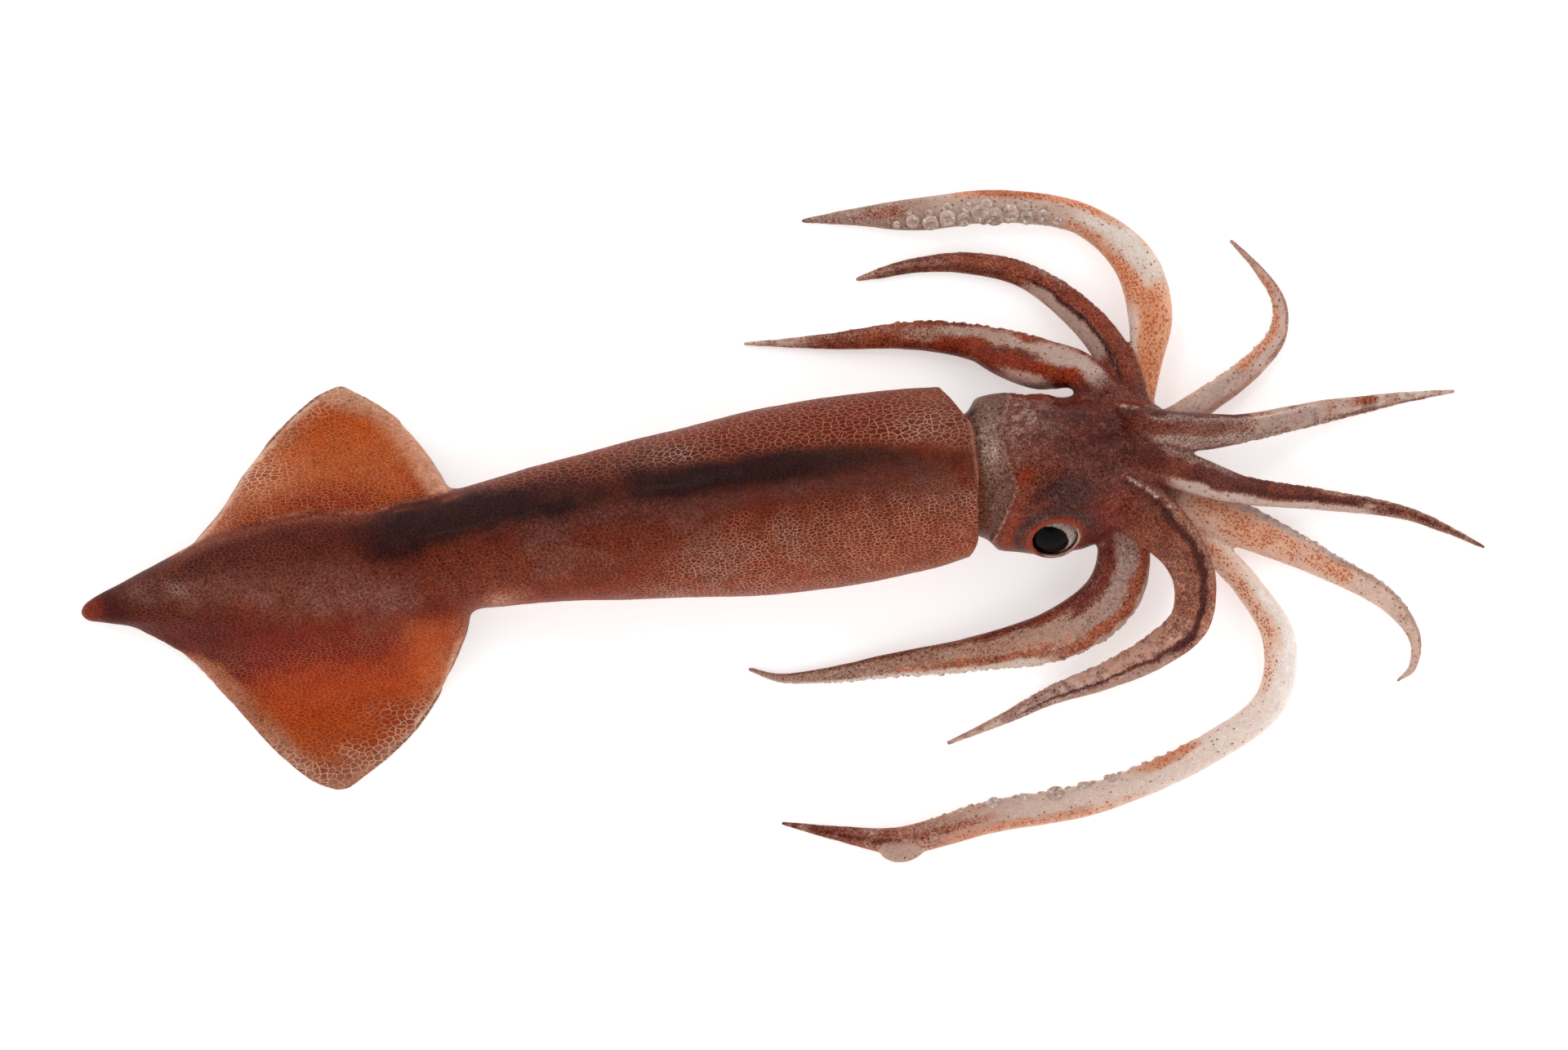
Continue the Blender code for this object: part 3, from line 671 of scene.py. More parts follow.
class Surface:
    """An even mesh in layout millimetres, with its edges and normals."""

    def __init__(self, points, quads):
        self.points = points
        self.quads = quads
        pairs = np.concatenate([quads[:, [i, (i + 1) % 4]] for i in range(4)])
        pairs = np.unique(np.sort(pairs, axis=1), axis=0)
        self.ends = np.concatenate([pairs, pairs[:, ::-1]])
        self.degree = np.bincount(self.ends[:, 0], minlength=len(points))

    def average(self, values):
        """Mean of each vertex's neighbours."""
        values = values.reshape(len(self.points), -1)
        out = np.empty_like(values)
        for column in range(values.shape[1]):
            out[:, column] = np.bincount(
                self.ends[:, 0], weights=values[self.ends[:, 1], column], minlength=len(values))
        return out / self.degree[:, None]

    def soften(self, values, rounds):
        """Each vertex's value, averaged with its neighbours' again and again."""
        for _ in range(rounds):
            values = self.average(values)[:, 0]
        return values

    def normals(self):
        p = self.points[self.quads]
        face = np.cross(p[:, 2] - p[:, 0], p[:, 3] - p[:, 1])
        total = np.zeros_like(self.points)
        for column in range(3):
            for corner in range(4):
                total[:, column] += np.bincount(
                    self.quads[:, corner], weights=face[:, column], minlength=len(total))
        return total / np.maximum(np.linalg.norm(total, axis=1), 1e-9)[:, None]

    def relax(self, rounds, share=0.5, back=0.52, where=1.0):
        """Smoothing that keeps the volume: each round pulls in and pushes back."""
        where = np.reshape(where, (-1, 1))
        for _ in range(rounds):
            self.points += share * where * (self.average(self.points) - self.points)
            self.points -= back * where * (self.average(self.points) - self.points)

    def fill_creases(self, rounds, share=0.5):
        """Rounds out inner corners and leaves outer ones alone."""
        for _ in range(rounds):
            normal = self.normals()
            pull = self.average(self.points) - self.points
            inward = (pull * normal).sum(axis=1)
            self.points += share * np.maximum(inward, 0.0)[:, None] * normal

    def push(self, distance):
        """Moves each vertex along its normal."""
        self.points += self.normals() * distance[:, None]

    def settle(self):
        """Flattens what would go below the surface that the animal lies on."""
        self.points[:, 2] = np.maximum(self.points[:, 2], 0.0)

    def to_object(self, name):
        mesh = bpy.data.meshes.new(name)
        mesh.from_pydata(in_frame(self.points).tolist(), [], self.quads.tolist())
        mesh.validate()
        mesh.shade_smooth()
        return link_object(name, mesh)


def fractal(points, size, depth=3, seed=0.0):
    """Smooth noise from about -1 to 1, with features of the given size."""
    shift = Vector((seed * 13.7, seed * 7.3, seed * 3.1))
    return np.array([
        noise.fractal(Vector(p) / size + shift, 1.0, 2.0, depth) for p in points.tolist()
    ])


def rise(value, low, high):
    """Smooth step from 0 at low to 1 at high."""
    t = np.clip((value - low) / (high - low), 0.0, 1.0)
    return t * t * (3 - 2 * t)


def band(value, middle, spread):
    """Soft bump round the middle."""
    return np.exp(-(((value - middle) / spread) ** 2))


def stretch(value, start, end, soft):
    """1 between start and end, with soft ends."""
    return rise(value, start - soft, start + soft) * (1 - rise(value, end - soft, end + soft))


def line_distance(x, y, line):
    """Distance of each point to a polyline in plan."""
    line = np.array(line, float)
    best = np.full(len(x), 1e9)
    for (ax, ay), (bx, by) in zip(line[:-1], line[1:]):
        dx, dy = bx - ax, by - ay
        t = np.clip(((x - ax) * dx + (y - ay) * dy) / (dx * dx + dy * dy), 0.0, 1.0)
        best = np.minimum(best, np.hypot(x - ax - t * dx, y - ay - t * dy))
    return best


def limb_place(points, limb):
    """Share of the length, angle from straight up towards the left, reach as a share of the section, and the
    nearest point of the middle line, for each point."""
    count = round(limb_length(limb) / PLACE_SPACING)
    line, width, thick = limb_line(limb, count)
    ahead, side, up = limb_frames(line)
    nearest = np.empty(len(points), int)
    for start in range(0, len(points), POINTS_AT_ONCE):
        part = points[start:start + POINTS_AT_ONCE]
        nearest[start:start + POINTS_AT_ONCE] = (
            (line**2).sum(axis=1)[None] - 2 * part @ line.T).argmin(axis=1)
    offset = points - line[nearest]
    left = (offset * side[nearest]).sum(axis=1) / (0.5 * np.maximum(width[nearest], THINNEST_BUILT))
    high = (offset * up[nearest]).sum(axis=1) / (0.5 * np.maximum(thick[nearest], THINNEST_BUILT))
    forward = (offset * ahead[nearest]).sum(axis=1)
    reach = (np.abs(left) ** SECTION_POWER + np.abs(high) ** SECTION_POWER) ** (1 / SECTION_POWER)
    beyond = np.where((nearest == 0) | (nearest == count - 1), np.abs(forward), 0.0)
    return dict(
        share=nearest / (count - 1), angle=np.degrees(np.arctan2(left, high)), reach=reach + beyond,
        middle=line[nearest], width=width[nearest], across=left,
        along=nearest / (count - 1) * limb_length(limb) + forward)


class Paint:
    """Colours of each vertex, painted on in order, with the weights that steer the skin's fine pattern."""

    def __init__(self, count, colour):
        self.tint, self.net, self.spot = (
            np.tile(np.array(each, float), (count, 1)) for each in (colour, colour, DARK_SPOT))
        self.cell, self.coarse, self.dots, self.streak, self.curls_and_painted_glints = (np.zeros(count) for _ in range(5))
        self.mottle = np.ones(count)
        self.lane = np.zeros((count, 3))

    def set(self, name, value, share):
        """Mixes a colour or an amount over what is there, by each vertex's share."""
        old = getattr(self, name)
        share = share[:, None] if old.ndim == 2 else share
        setattr(self, name, old + (np.asarray(value, float) - old) * share)

    def tint_with(self, colour, share):
        self.set("tint", colour, share)

    def net_with(self, colour, share):
        self.set("net", colour, share)

    def spot_with(self, colour, share):
        self.set("spot", colour, share)

    def blend(self, other, weight):
        """Mixes another paint over this one."""
        for name in ("tint", "net", "spot", "cell", "coarse", "dots", "streak", "curls_and_painted_glints", "mottle"):
            self.set(name, getattr(other, name), weight)
        most = weight > 0.5
        self.lane[most] = other.lane[most]

    def lay_flat(self, points):
        """Coordinates for the fine pattern that run along the body and round it from the back."""
        x, y, z = points.T
        slices = ((x - x.min()) / SLICE_LENGTH).astype(int)
        tops = np.zeros(slices.max() + 1)
        np.maximum.at(tops, slices, z)
        drop = np.interp(x, x.min() + SLICE_LENGTH * (np.arange(len(tops)) + 0.5), tops) - z
        around = y + FLANK_STRETCH * np.maximum(drop, 0.0) * np.tanh(y / BACK_WIDTH)
        self.lane = np.column_stack([x, around, np.zeros(len(x))])

    def write(self, mesh):
        for name in ("tint", "net", "spot"):
            values = np.clip(getattr(self, name), 0.0, 255.0) / 255.0
            linear = np.where(values <= 0.04045, values / 12.92, ((values + 0.055) / 1.055) ** 2.4)
            linear = np.maximum(linear - SHEEN, 0.3 * linear)
            write_layer(mesh, name, "FLOAT_COLOR", "color", np.column_stack([linear, np.ones(len(linear))]))
        for name, columns in (
            ("pattern", (self.cell, self.coarse, self.dots)),
            ("fibre_painted_glint_mottle", (self.streak, self.curls_and_painted_glints, self.mottle)),
            ("lane", tuple(self.lane.T)),
        ):
            write_layer(mesh, name, "FLOAT_VECTOR", "vector", np.column_stack(columns))


# Light that the wet surface itself gives back, taken off the skin's own colour (linear).
SHEEN = 0.009
# How strong the wet film is.
MANTLE_WET = 0.01
CROWN_WET = 0.10

# Colours of the mantle and fins, and of the dots where nothing else is said.
DARK_SPOT = (92, 42, 34)
RUST = (104, 48, 38)
STRIPE = (45, 27, 24)
HAZE = (118, 75, 68)
FLANK_CELL = (104, 40, 25)
FLANK_NET = (162, 109, 87)
SIDE_NET = (208, 152, 124)
TAIL_NET = (154, 88, 60)
FIN_NET = (204, 128, 84)
FIN_PALE = (206, 166, 144)
BELLY = (176, 128, 108)
PALE_NET = (190, 150, 130)

# Colours across the body, by distance to the left: the tail and right fin, the left fin, and the mantle's
# right side.
TAIL_RIGHT = ((-46, (154, 60, 25)), (-33, (158, 58, 22)), (-27, (142, 48, 18)), (-21, (106, 28, 14)),
              (-12, (96, 28, 15)), (-5, (90, 34, 25)), (2, (76, 34, 28)), (8, (64, 26, 20)))
FIN_LEFT_COLOURS = ((16, (116, 46, 28)), (21, (128, 48, 24)), (27, (150, 68, 33)), (34, (158, 69, 29)),
                    (48, (178, 68, 25)))
SIDE_COLOURS = ((-24, (120, 50, 33)), (-16, (114, 47, 31)), (-8, (106, 44, 29)), (-2, (97, 41, 30)),
                (4, (88, 42, 34)))
# The dark stripe along the back: (along, middle, reach to the right, reach to the left).
STRIPE_LINE = ((78, 7.0, 7.5, 5.5), (90, 7.5, 6.2, 7.4), (105, 9.5, 5.3, 6.0), (120, 9.7, 3.4, 6.6),
               (135, 10.0, 4.5, 6.8), (150, 10.2, 3.4, 4.4), (165, 10.6, 4.6, 3.3), (180, 10.5, 5.0, 3.3),
               (195, 10.8, 5.2, 3.3), (210, 9.9, 4.2, 2.4), (225, 9.0, 3.0, 1.8), (240, 6.0, 3.0, 2.0),
               (250, 3.0, 2.0, 2.0))
# The grey haze below it on the tail: (along, across, half width, strength).
HAZE_LINE = ((8, 4.0, 2.0, 0.0), (16, 4.0, 4.0, 0.7), (30, 1.0, 5.0, 0.8), (45, -1.0, 7.0, 0.75),
             (60, -4.0, 9.2, 0.8), (75, -7.0, 10.2, 0.95), (90, -10.5, 8.5, 0.8), (104, -8.0, 5.0, 0.2))
# Where the left fin's root makes a ridge in the skin, and where the right fin's front end joins the mantle.
LEFT_ROOT = ((22, 8.0), (33, 13.8), (45, 16.6), (57.5, 17.8), (68, 18.0), (84, 14.7), (91, 16.2), (101, 16.5),
             (108, 17.4))
RIGHT_FRONT = ((107.4, -16.5), (106.2, -12.0), (104.6, -7.9), (101.9, -3.0), (98.0, 0.0))


def gradient(value, stops):
    """Colours between given stops."""
    places = np.array([stop[0] for stop in stops], float)
    colours = np.array([stop[1] for stop in stops], float)
    return np.column_stack([np.interp(value, places, colours[:, channel]) for channel in range(3)])


def read_line(line, x, column):
    """A column of listed stations, read between them."""
    table = np.array(line, float)
    return np.interp(x, table[:, 0], table[:, column])


# In the painting functions, ground is the places along and across, and noise from about -1 to 1 in wide,
# medium and small patches.
def paint_right_side(paint, ground):
    """The mantle's right side: rust, brighter downwards, with a fine pale net towards the front."""
    x, y, wide, medium, _ = ground
    tint, net = paint.tint_with, paint.net_with
    paint.tint[:] = gradient(y + 2.0 * medium, SIDE_COLOURS)
    tint((106, 64, 56), 0.55 * rise(wide + 0.5 * medium, 0.10, 0.55))
    tint((124, 50, 30), 0.6 * rise(-wide + 0.4 * medium, 0.2, 0.6) * rise(x, 165, 200))
    net(SIDE_NET, rise(-y, -4.0, 2.0))
    netted = rise(x - 1.7 * y + 5.0 * medium, 170, 202) * rise(-y + 3.0 * medium, -1.0, 11.0)
    netted *= np.clip(0.88 + 0.3 * medium, 0.5, 1.0)
    paint.cell[:] = 0.12 + 0.73 * netted
    paint.coarse[:] = 0.12 * rise(x, 180, 200)
    # A pale patch behind the fin, low on the side.
    tint((166, 112, 90), 0.8 * band(x + 2 * medium, 116, 6) * band(y, -14.5, 2.4))


def paint_flank(paint, ground):
    """The mantle's left flank with its larger cobbles."""
    x, y, wide, medium, _ = ground
    tint, net, amount = paint.tint_with, paint.net_with, paint.set
    stripe_middle = read_line(STRIPE_LINE, x, 1)
    flank = rise(y + 1.5 * medium, stripe_middle - 0.5, stripe_middle + 5.0) * rise(x, 96, 116)
    tint(FLANK_CELL, flank)
    tint((110, 57, 43), flank * rise(x + 4 * medium, 224, 242))
    tint((100, 66, 57), flank * 0.45 * rise(wide + 0.5 * medium, 0.05, 0.55))
    net(FLANK_NET, flank)
    shaded = flank * band(x, 160, 26) * (1 - rise(y, 17.5, 22.0))
    tint((82, 42, 35), 0.6 * shaded)
    net((122, 90, 80), 0.8 * shaded)
    net((176, 146, 132), flank * band(x + 4 * medium, 170, 8) * band(y, 17.5, 3))
    net((188, 160, 146), 0.85 * flank * band(x, 236, 11) * band(y + 2 * medium, 14, 5))
    amount("cell", 0.85, flank)
    amount("coarse", 1.0, flank * rise(x, 104, 125))


def paint_tail(paint, ground):
    """The tail and the right fin, which lies over the shoulder like a blanket. Returns where they are."""
    x, y, wide, medium, _ = ground
    tint, net, amount = paint.tint_with, paint.net_with, paint.set
    tail = 1 - rise(x + 0.3 * (y + 14) * (y > -14) + 1.2 * medium, 98, 108)
    tint(gradient(y + 3.0 * medium + 1.5 * wide, TAIL_RIGHT), tail)
    ridge = band(y, 0.11 * x + 3.2, 3.6) * rise(x, 3, 14) * (1 - rise(x, 72, 92))
    tint((74, 31, 27), 0.9 * ridge)
    paint.tint *= (1 - 0.15 * tail * (1 - rise(x, 34, 50)))[:, None]
    haze_y, haze_wide, haze_share = (read_line(HAZE_LINE, x, i) for i in (1, 2, 3))
    haze = haze_share * band(y + 1.5 * medium, haze_y, haze_wide) * np.clip(0.85 + 0.3 * medium, 0.2, 1.2)
    tint(HAZE, np.clip(haze, 0, 1))
    tint((116, 46, 32), 1 - rise(x, 2, 8))
    net(TAIL_NET, tail)
    pale_patch = tail * band(x, 30, 12) * band(y, 2.5, 3.5) * rise(medium + wide, -0.6, 0.2)
    tint((104, 68, 60), 0.5 * pale_patch)
    amount("cell", 0.50 - 0.15 * rise(-y, 8, 14), tail * rise(x, 8, 20))
    amount("cell", 0.15, tail * band(x, 84, 14) * (y > -16))
    net((170, 140, 128), pale_patch)
    amount("cell", 0.75, pale_patch)
    amount("cell", 0.45, tail * band(x, 50, 16) * band(y, 2, 8) * (1 - pale_patch))
    amount("coarse", 0.15, tail)
    return tail


def paint_fins(paint, ground, tail):
    """The left fin, from the ridge where it leaves the body, and both fins' outer parts."""
    x, y, wide, medium, small = ground
    tint, net, amount = paint.tint_with, paint.net_with, paint.set
    root = read_line(LEFT_ROOT, x, 1)
    fin_left = rise(y, root - 0.6, root + 1.2) * (1 - rise(x, 104, 109)) * rise(x, 24, 30)
    tint((116, 58, 46), tail * rise(y, root - 5.0, root - 1.5) * rise(x, 20, 34) * 0.8)
    tint(gradient(y + 3.0 * medium, FIN_LEFT_COLOURS), fin_left)
    tint((122, 42, 23), 0.85 * fin_left * band(y, 20, 3.5) * band(x, 74, 14))
    tint((168, 78, 40), 0.6 * fin_left * band(y, 21, 4) * band(x, 92, 6))
    patch = fin_left * band(x, 55, 7) * band(y, 30, 7) * rise(medium + wide, -0.4, 0.3)
    tint((160, 104, 80), 0.30 * patch)
    fin_right = tail * rise(-y, 13, 21)
    tint((190, 88, 44), 0.55 * fin_right * rise(x + 2 * medium, 82, 92))
    for fin, margin in ((fin_right, FIN_RIGHT), (fin_left, FIN_LEFT)):
        free = line_distance(x, y, margin)
        net(FIN_NET, fin)
        amount("cell", 0.60 if margin is FIN_LEFT else 0.42, fin)
        amount("coarse", 0.0, fin)
        amount("mottle", 0.8, fin)
        outer = fin * rise(np.abs(y) + 8.0 * wide, 36, 48)
        outer *= 1 - 0.7 * rise(np.abs(y) + 5.0 * medium, 52, 57)
        amount("coarse", 1.0, outer)
        amount("cell", 0.85, outer)
        paint.cell *= 1 - outer * (0.55 - 0.9 * np.clip(medium + 0.5 * small, -0.3, 0.6))
        net((218, 172, 144), outer)
        tint((138, 56, 38), 0.6 * outer * rise(small + wide, -0.1, 0.5))
        rim = fin * (1 - rise(free + 2.0 * medium, 1.5, 7.5))
        tint((150, 86, 66), 0.6 * rim)
        amount("cell", 0.85, rim)
        tint(FIN_PALE, 0.85 * fin * (1 - rise(free + 0.6 * small, 0.5, 2.4)))
        tint((92, 56, 46), 0.75 * fin * (1 - rise(free, 0.15, 0.6)))
    pale_front = fin_left * (1 - rise(line_distance(x, y, FIN_LEFT[6:]) + 2 * medium, 2, 8))
    tint((194, 144, 120), 0.75 * pale_front)
    ringed = fin_left * band(x + 2 * medium, 53, 12) * band(y + 2 * medium, 31, 9)
    amount("coarse", 1.0, ringed)
    amount("cell", 1.0, ringed)
    net((216, 174, 152), ringed)
    pale_rear = fin_right * (1 - rise(line_distance(x, y, FIN_RIGHT[2:5]) + 3 * medium, 1.5, 8))
    tint((150, 98, 80), 0.75 * pale_rear)
    pale_tip = fin_right * rise(-y + 4 * medium, 46, 54)
    tint((140, 92, 76), 0.7 * pale_tip)


def paint_stripe(paint, ground):
    """The dark stripe along the back, soft and blotchy at its edges."""
    x, y, wide, medium, small = ground
    tint, net, amount = paint.tint_with, paint.net_with, paint.set
    off = y - read_line(STRIPE_LINE, x, 1) + 0.4 * small
    dusk = rise(x, 104, 126) * (1 - rise(x, 232, 246)) * np.clip(0.75 + 0.9 * wide + 0.7 * medium, 0.2, 1.0)
    tint((92, 55, 48), 0.85 * dusk * rise(off, -13.0, -7.0) * (1 - rise(off, -3.0, 3.0)))
    amount("cell", 0.25, dusk * rise(off, -12.0, -7.0) * (1 - rise(off, -3.0, 3.0)))
    right_reach, left_reach = (read_line(STRIPE_LINE, x, i) for i in (2, 3))
    away = np.where(off > 0, off - left_reach, -off - right_reach) - (1.3 * medium + 0.9 * wide)
    stripe = (1 - rise(away, -3.0, 2.6)) * rise(x + 4 * medium, 76, 90) * (1 - rise(x + 9 * medium, 200, 248))
    stripe *= 1 - 0.4 * band(x, 137, 11) * rise(off + 3 * medium, -3, 1)
    stripe = np.clip(1.12 * stripe, 0, 1) * (1 - 0.62 * band(x + 3 * medium, 150, 7))
    stripe *= 1 - 0.30 * band(x, 92, 14) * rise(small + medium, -0.3, 0.4)
    tint(STRIPE, stripe)
    tint((64, 43, 39), 0.7 * stripe * rise(x + 4 * medium, 196, 214))
    amount("cell", 0.22, stripe)
    net((96, 66, 60), stripe)


def paint_lines(paint, ground):
    """Thin lines on the raised root of the left fin, where the right fin's front joins, and at the mantle's
    rim. The pale line along the left root is a painted highlight, and the dark line where the right fin joins
    is painted shade.
    """
    x, y, _, medium, _ = ground
    tint = paint.tint_with
    section = smooth(MANTLE, x)
    middling = np.abs(y - section[:, 2]) / section[:, 0] < 0.8
    left_line = line_distance(x, y, LEFT_ROOT)
    # A pale line along the ridge of the left fin's root: a painted highlight.
    tint((150, 96, 78), 0.6 * band(left_line, 0.0, 0.5) * rise(x, 34, 44) * rise(medium, -0.5, 0.2))
    above = line_distance(x, y + 2.0, LEFT_ROOT)
    tint((140, 78, 60), 0.5 * band(above, 0.0, 0.4) * rise(x, 50, 58) * rise(-medium, -0.3, 0.2))
    # A dark line in the crease where the right fin's front end joins the mantle: painted shade.
    tint((92, 34, 26), 0.6 * band(line_distance(x, y, RIGHT_FRONT), 0.0, 0.8) * (y > -14))
    rim_x = MANTLE_LENGTH - x
    tint((150, 98, 80), band(rim_x, 0.2, 0.5) * middling * 0.8)
    tint((84, 42, 35), band(rim_x, 1.3, 0.5) * middling * 0.6)


def paint_mantle(surface):
    """Paint of the mantle and fins: each colour goes over the earlier ones."""
    x, y, _ = surface.points.T
    noises = (fractal(surface.points, *each) for each in ((22.0, 3, 1.0), (7.0, 3, 2.0), (2.6, 2, 7.0)))
    ground = (x, y, *noises)
    paint = Paint(len(x), RUST)
    paint.mottle[:] = 1.5 - 0.5 * rise(x, 150, 185)
    paint.lay_flat(surface.points)
    paint_right_side(paint, ground)
    paint_flank(paint, ground)
    paint_fins(paint, ground, paint_tail(paint, ground))
    paint_stripe(paint, ground)
    paint_lines(paint, ground)

    # A pale belly.
    under = rise(-surface.normals()[:, 2], 0.15, 0.75)
    paint.tint_with(BELLY, 0.75 * under)
    paint.net_with(PALE_NET, under)
    paint.set("cell", 0.4, under)
    paint.set("dots", 0.6, under)
    paint.spot_with((120, 56, 42), under)
    return paint


# Where the skin beside the right eye is rust orange: (along, across).
CHEEK = ((264.2, -2.6), (261.5, -8.0), (259.0, -13.0), (257.6, -20.0), (264.0, -26.0))


def paint_neck(paint, ground, neck):
    """The neck: beige, blotchy at the top left, with an orange-brown strip by the mantle's rim."""
    x, y, wide, medium, small = ground
    tint, spot, amount = paint.tint_with, paint.spot_with, paint.set
    tint((116, 78, 66), neck)
    tint((144, 112, 99), neck * rise(y, 0, 9) * rise(medium + 0.5 * wide, -0.3, 0.25) * 0.85)
    tint((104, 74, 65), neck * rise(y, 11.5, 14.5) * 0.7)
    tint((66, 46, 42), neck * rise(y, 4, 10) * rise(-medium + 0.8 * small, 0.0, 0.25) * 0.85)
    tint((172, 140, 126), neck * band(x, 255, 3.5) * band(y, 5.5, 6.5) * 0.95)
    tint((102, 66, 56), neck * band(x, 255, 5) * rise(-y, 4, 10) * 0.75)
    tint((138, 70, 48), (1 - rise(x + 0.8 * medium, 250.5, 253.6)) * band(y, -2, 13) * 0.8)
    amount("dots", 1.0, neck)
    amount("mottle", 1.6, neck)
    spot((74, 44, 38), neck)


def paint_lids(paint, points):
    """Dark, orange and pale rings round the eye openings: the dark ring is painted shade, and the pale edge
    is partly a painted highlight.
    """
    tint, amount = paint.tint_with, paint.set
    for centre, angle in (EYE_RIGHT, EYE_LEFT):
        offset = points - np.array(centre)
        across = math.cos(angle) * offset[:, 1] - math.sin(angle) * offset[:, 2] - LID_SHIFT[1]
        out = math.sin(angle) * offset[:, 1] + math.cos(angle) * offset[:, 2]
        near = (out > 1.0) * (np.linalg.norm(offset, axis=1) < 17.0)
        along = offset[:, 0] - LID_SHIFT[0]
        e = np.hypot(along / LID_OPENING[0], across / LID_OPENING[1])
        upper = rise(across - 0.4 * along, -3.0, 2.0)
        # Painted shade: a dark ring beyond the lid on its upper side.
        tint((66, 45, 42), near * upper * band(e, 1.62, 0.24) * 0.85)
        tint((138, 56, 36), near * band(e, 1.22, 0.22) * (0.35 + 0.65 * upper))
        tint((92, 40, 30), near * band(e, 1.36, 0.07) * upper * 0.7)
        # A pale line at the opening's lower front edge: partly the pale lid margin, partly a painted
        # highlight.
        tint((196, 166, 152), near * band(e, 1.03, 0.05) * rise(along - across, -1.0, 3.0))
        amount("mottle", 0.6, near * (1 - rise(e, 1.2, 1.5)))


def paint_head(points, normal):
    """Paint of the head and neck."""
    x, y, _ = points.T
    wide = fractal(points, 14.0, 3, 3.0)
    medium = fractal(points, 4.5, 3, 4.0)
    small = fractal(points, 1.8, 2, 9.0)
    paint = Paint(len(points), (87, 40, 33))
    tint, amount = paint.tint_with, paint.set
    paint.mottle[:] = 2.3
    paint.lay_flat(points)
    line = np.array(COLLAR)
    collar_x = np.interp(y, line[::-1, 1], line[::-1, 0])
    neck = 1 - rise(x - collar_x, -0.5, 0.5)
    tint((120, 54, 38), (1 - neck) * rise(medium - 0.5 * wide, 0.05, 0.4) * 0.6)
    tint((70, 36, 33), (1 - neck) * rise(wide + 0.7 * medium, 0.0, 0.4) * 0.75)
    tint((118, 84, 76), (1 - neck) * rise(small - 0.6 * medium, 0.25, 0.6) * 0.45)
    tint((120, 64, 50), (1 - neck) * band(x - collar_x, 1.5, 4.5) * 0.8)
    tint((116, 72, 64), 0.6 * band(x, 268, 9) * band(y, 3, 8))
    white = np.clip(band(x, 265, 8) * band(y, 12.5, 6.5) * 1.2, 0, 1)
    tint((136, 104, 94), 0.65 * white * rise(np.abs(medium + 0.4 * small), 0.12, 0.30))
    tint((88, 56, 50), 0.6 * white * (1 - rise(np.abs(medium + 0.4 * small), 0.05, 0.2)))
    # Amount of pale curls and painted highlights (glints): some everywhere, more on the whitish patch.
    paint.curls_and_painted_glints[:] = 0.12 + 0.70 * white
    tint((60, 44, 43), 0.9 * band(x, 275.5, 7.5) * band(y, -9.5, 5.5) * np.clip(1 + medium, 0.4, 1))
    tint((98, 66, 60), 0.4 * band(x, 284, 8) * band(y, -4, 6))
    tint((76, 33, 28), 0.85 * band(x, 288, 9) * band(y, 7, 8) * np.clip(0.8 + 0.8 * medium, 0, 1))
    cheek = band(line_distance(x + 1.2 * medium, y, CHEEK), 0, 2.6)
    tint((138, 52, 30), 0.85 * cheek * np.clip(0.7 + 0.9 * medium + 0.5 * small, 0.15, 1))
    tint((128, 52, 40), 0.6 * band(x, 286, 6) * band(y, -17, 7))
    tint((118, 66, 54), 0.6 * rise(x + 3 * medium, 284, 296) * rise(np.abs(y - 3), 5, 11))
    paint_neck(paint, (x, y, wide, medium, small), neck)
    paint_lids(paint, points)
    collar = line_distance(x, y, COLLAR)
    tint((146, 100, 86), band(collar, 0, 0.45) * (x < COLLAR_END) * 0.9)
    tint((86, 52, 44), 0.6 * band(line_distance(x - 1.2, y, COLLAR), 0, 0.5) * (x < COLLAR_END + 1.0))
    under = rise(-normal[:, 2], 0.1, 0.7)
    tint((178, 138, 120), 0.8 * under)
    amount("dots", 0.7, under)
    return paint


# Pale skin folds where the arms leave the head, painted as pale lines that are partly painted highlights,
# with a painted shadow beside each: points (along, across) of each.
FOLDS = (((290.8, -7.7), (297.0, -12.4), (302.8, -18.8)), ((292.4, 11.9), (295.0, 11.0), (297.5, 10.2)))
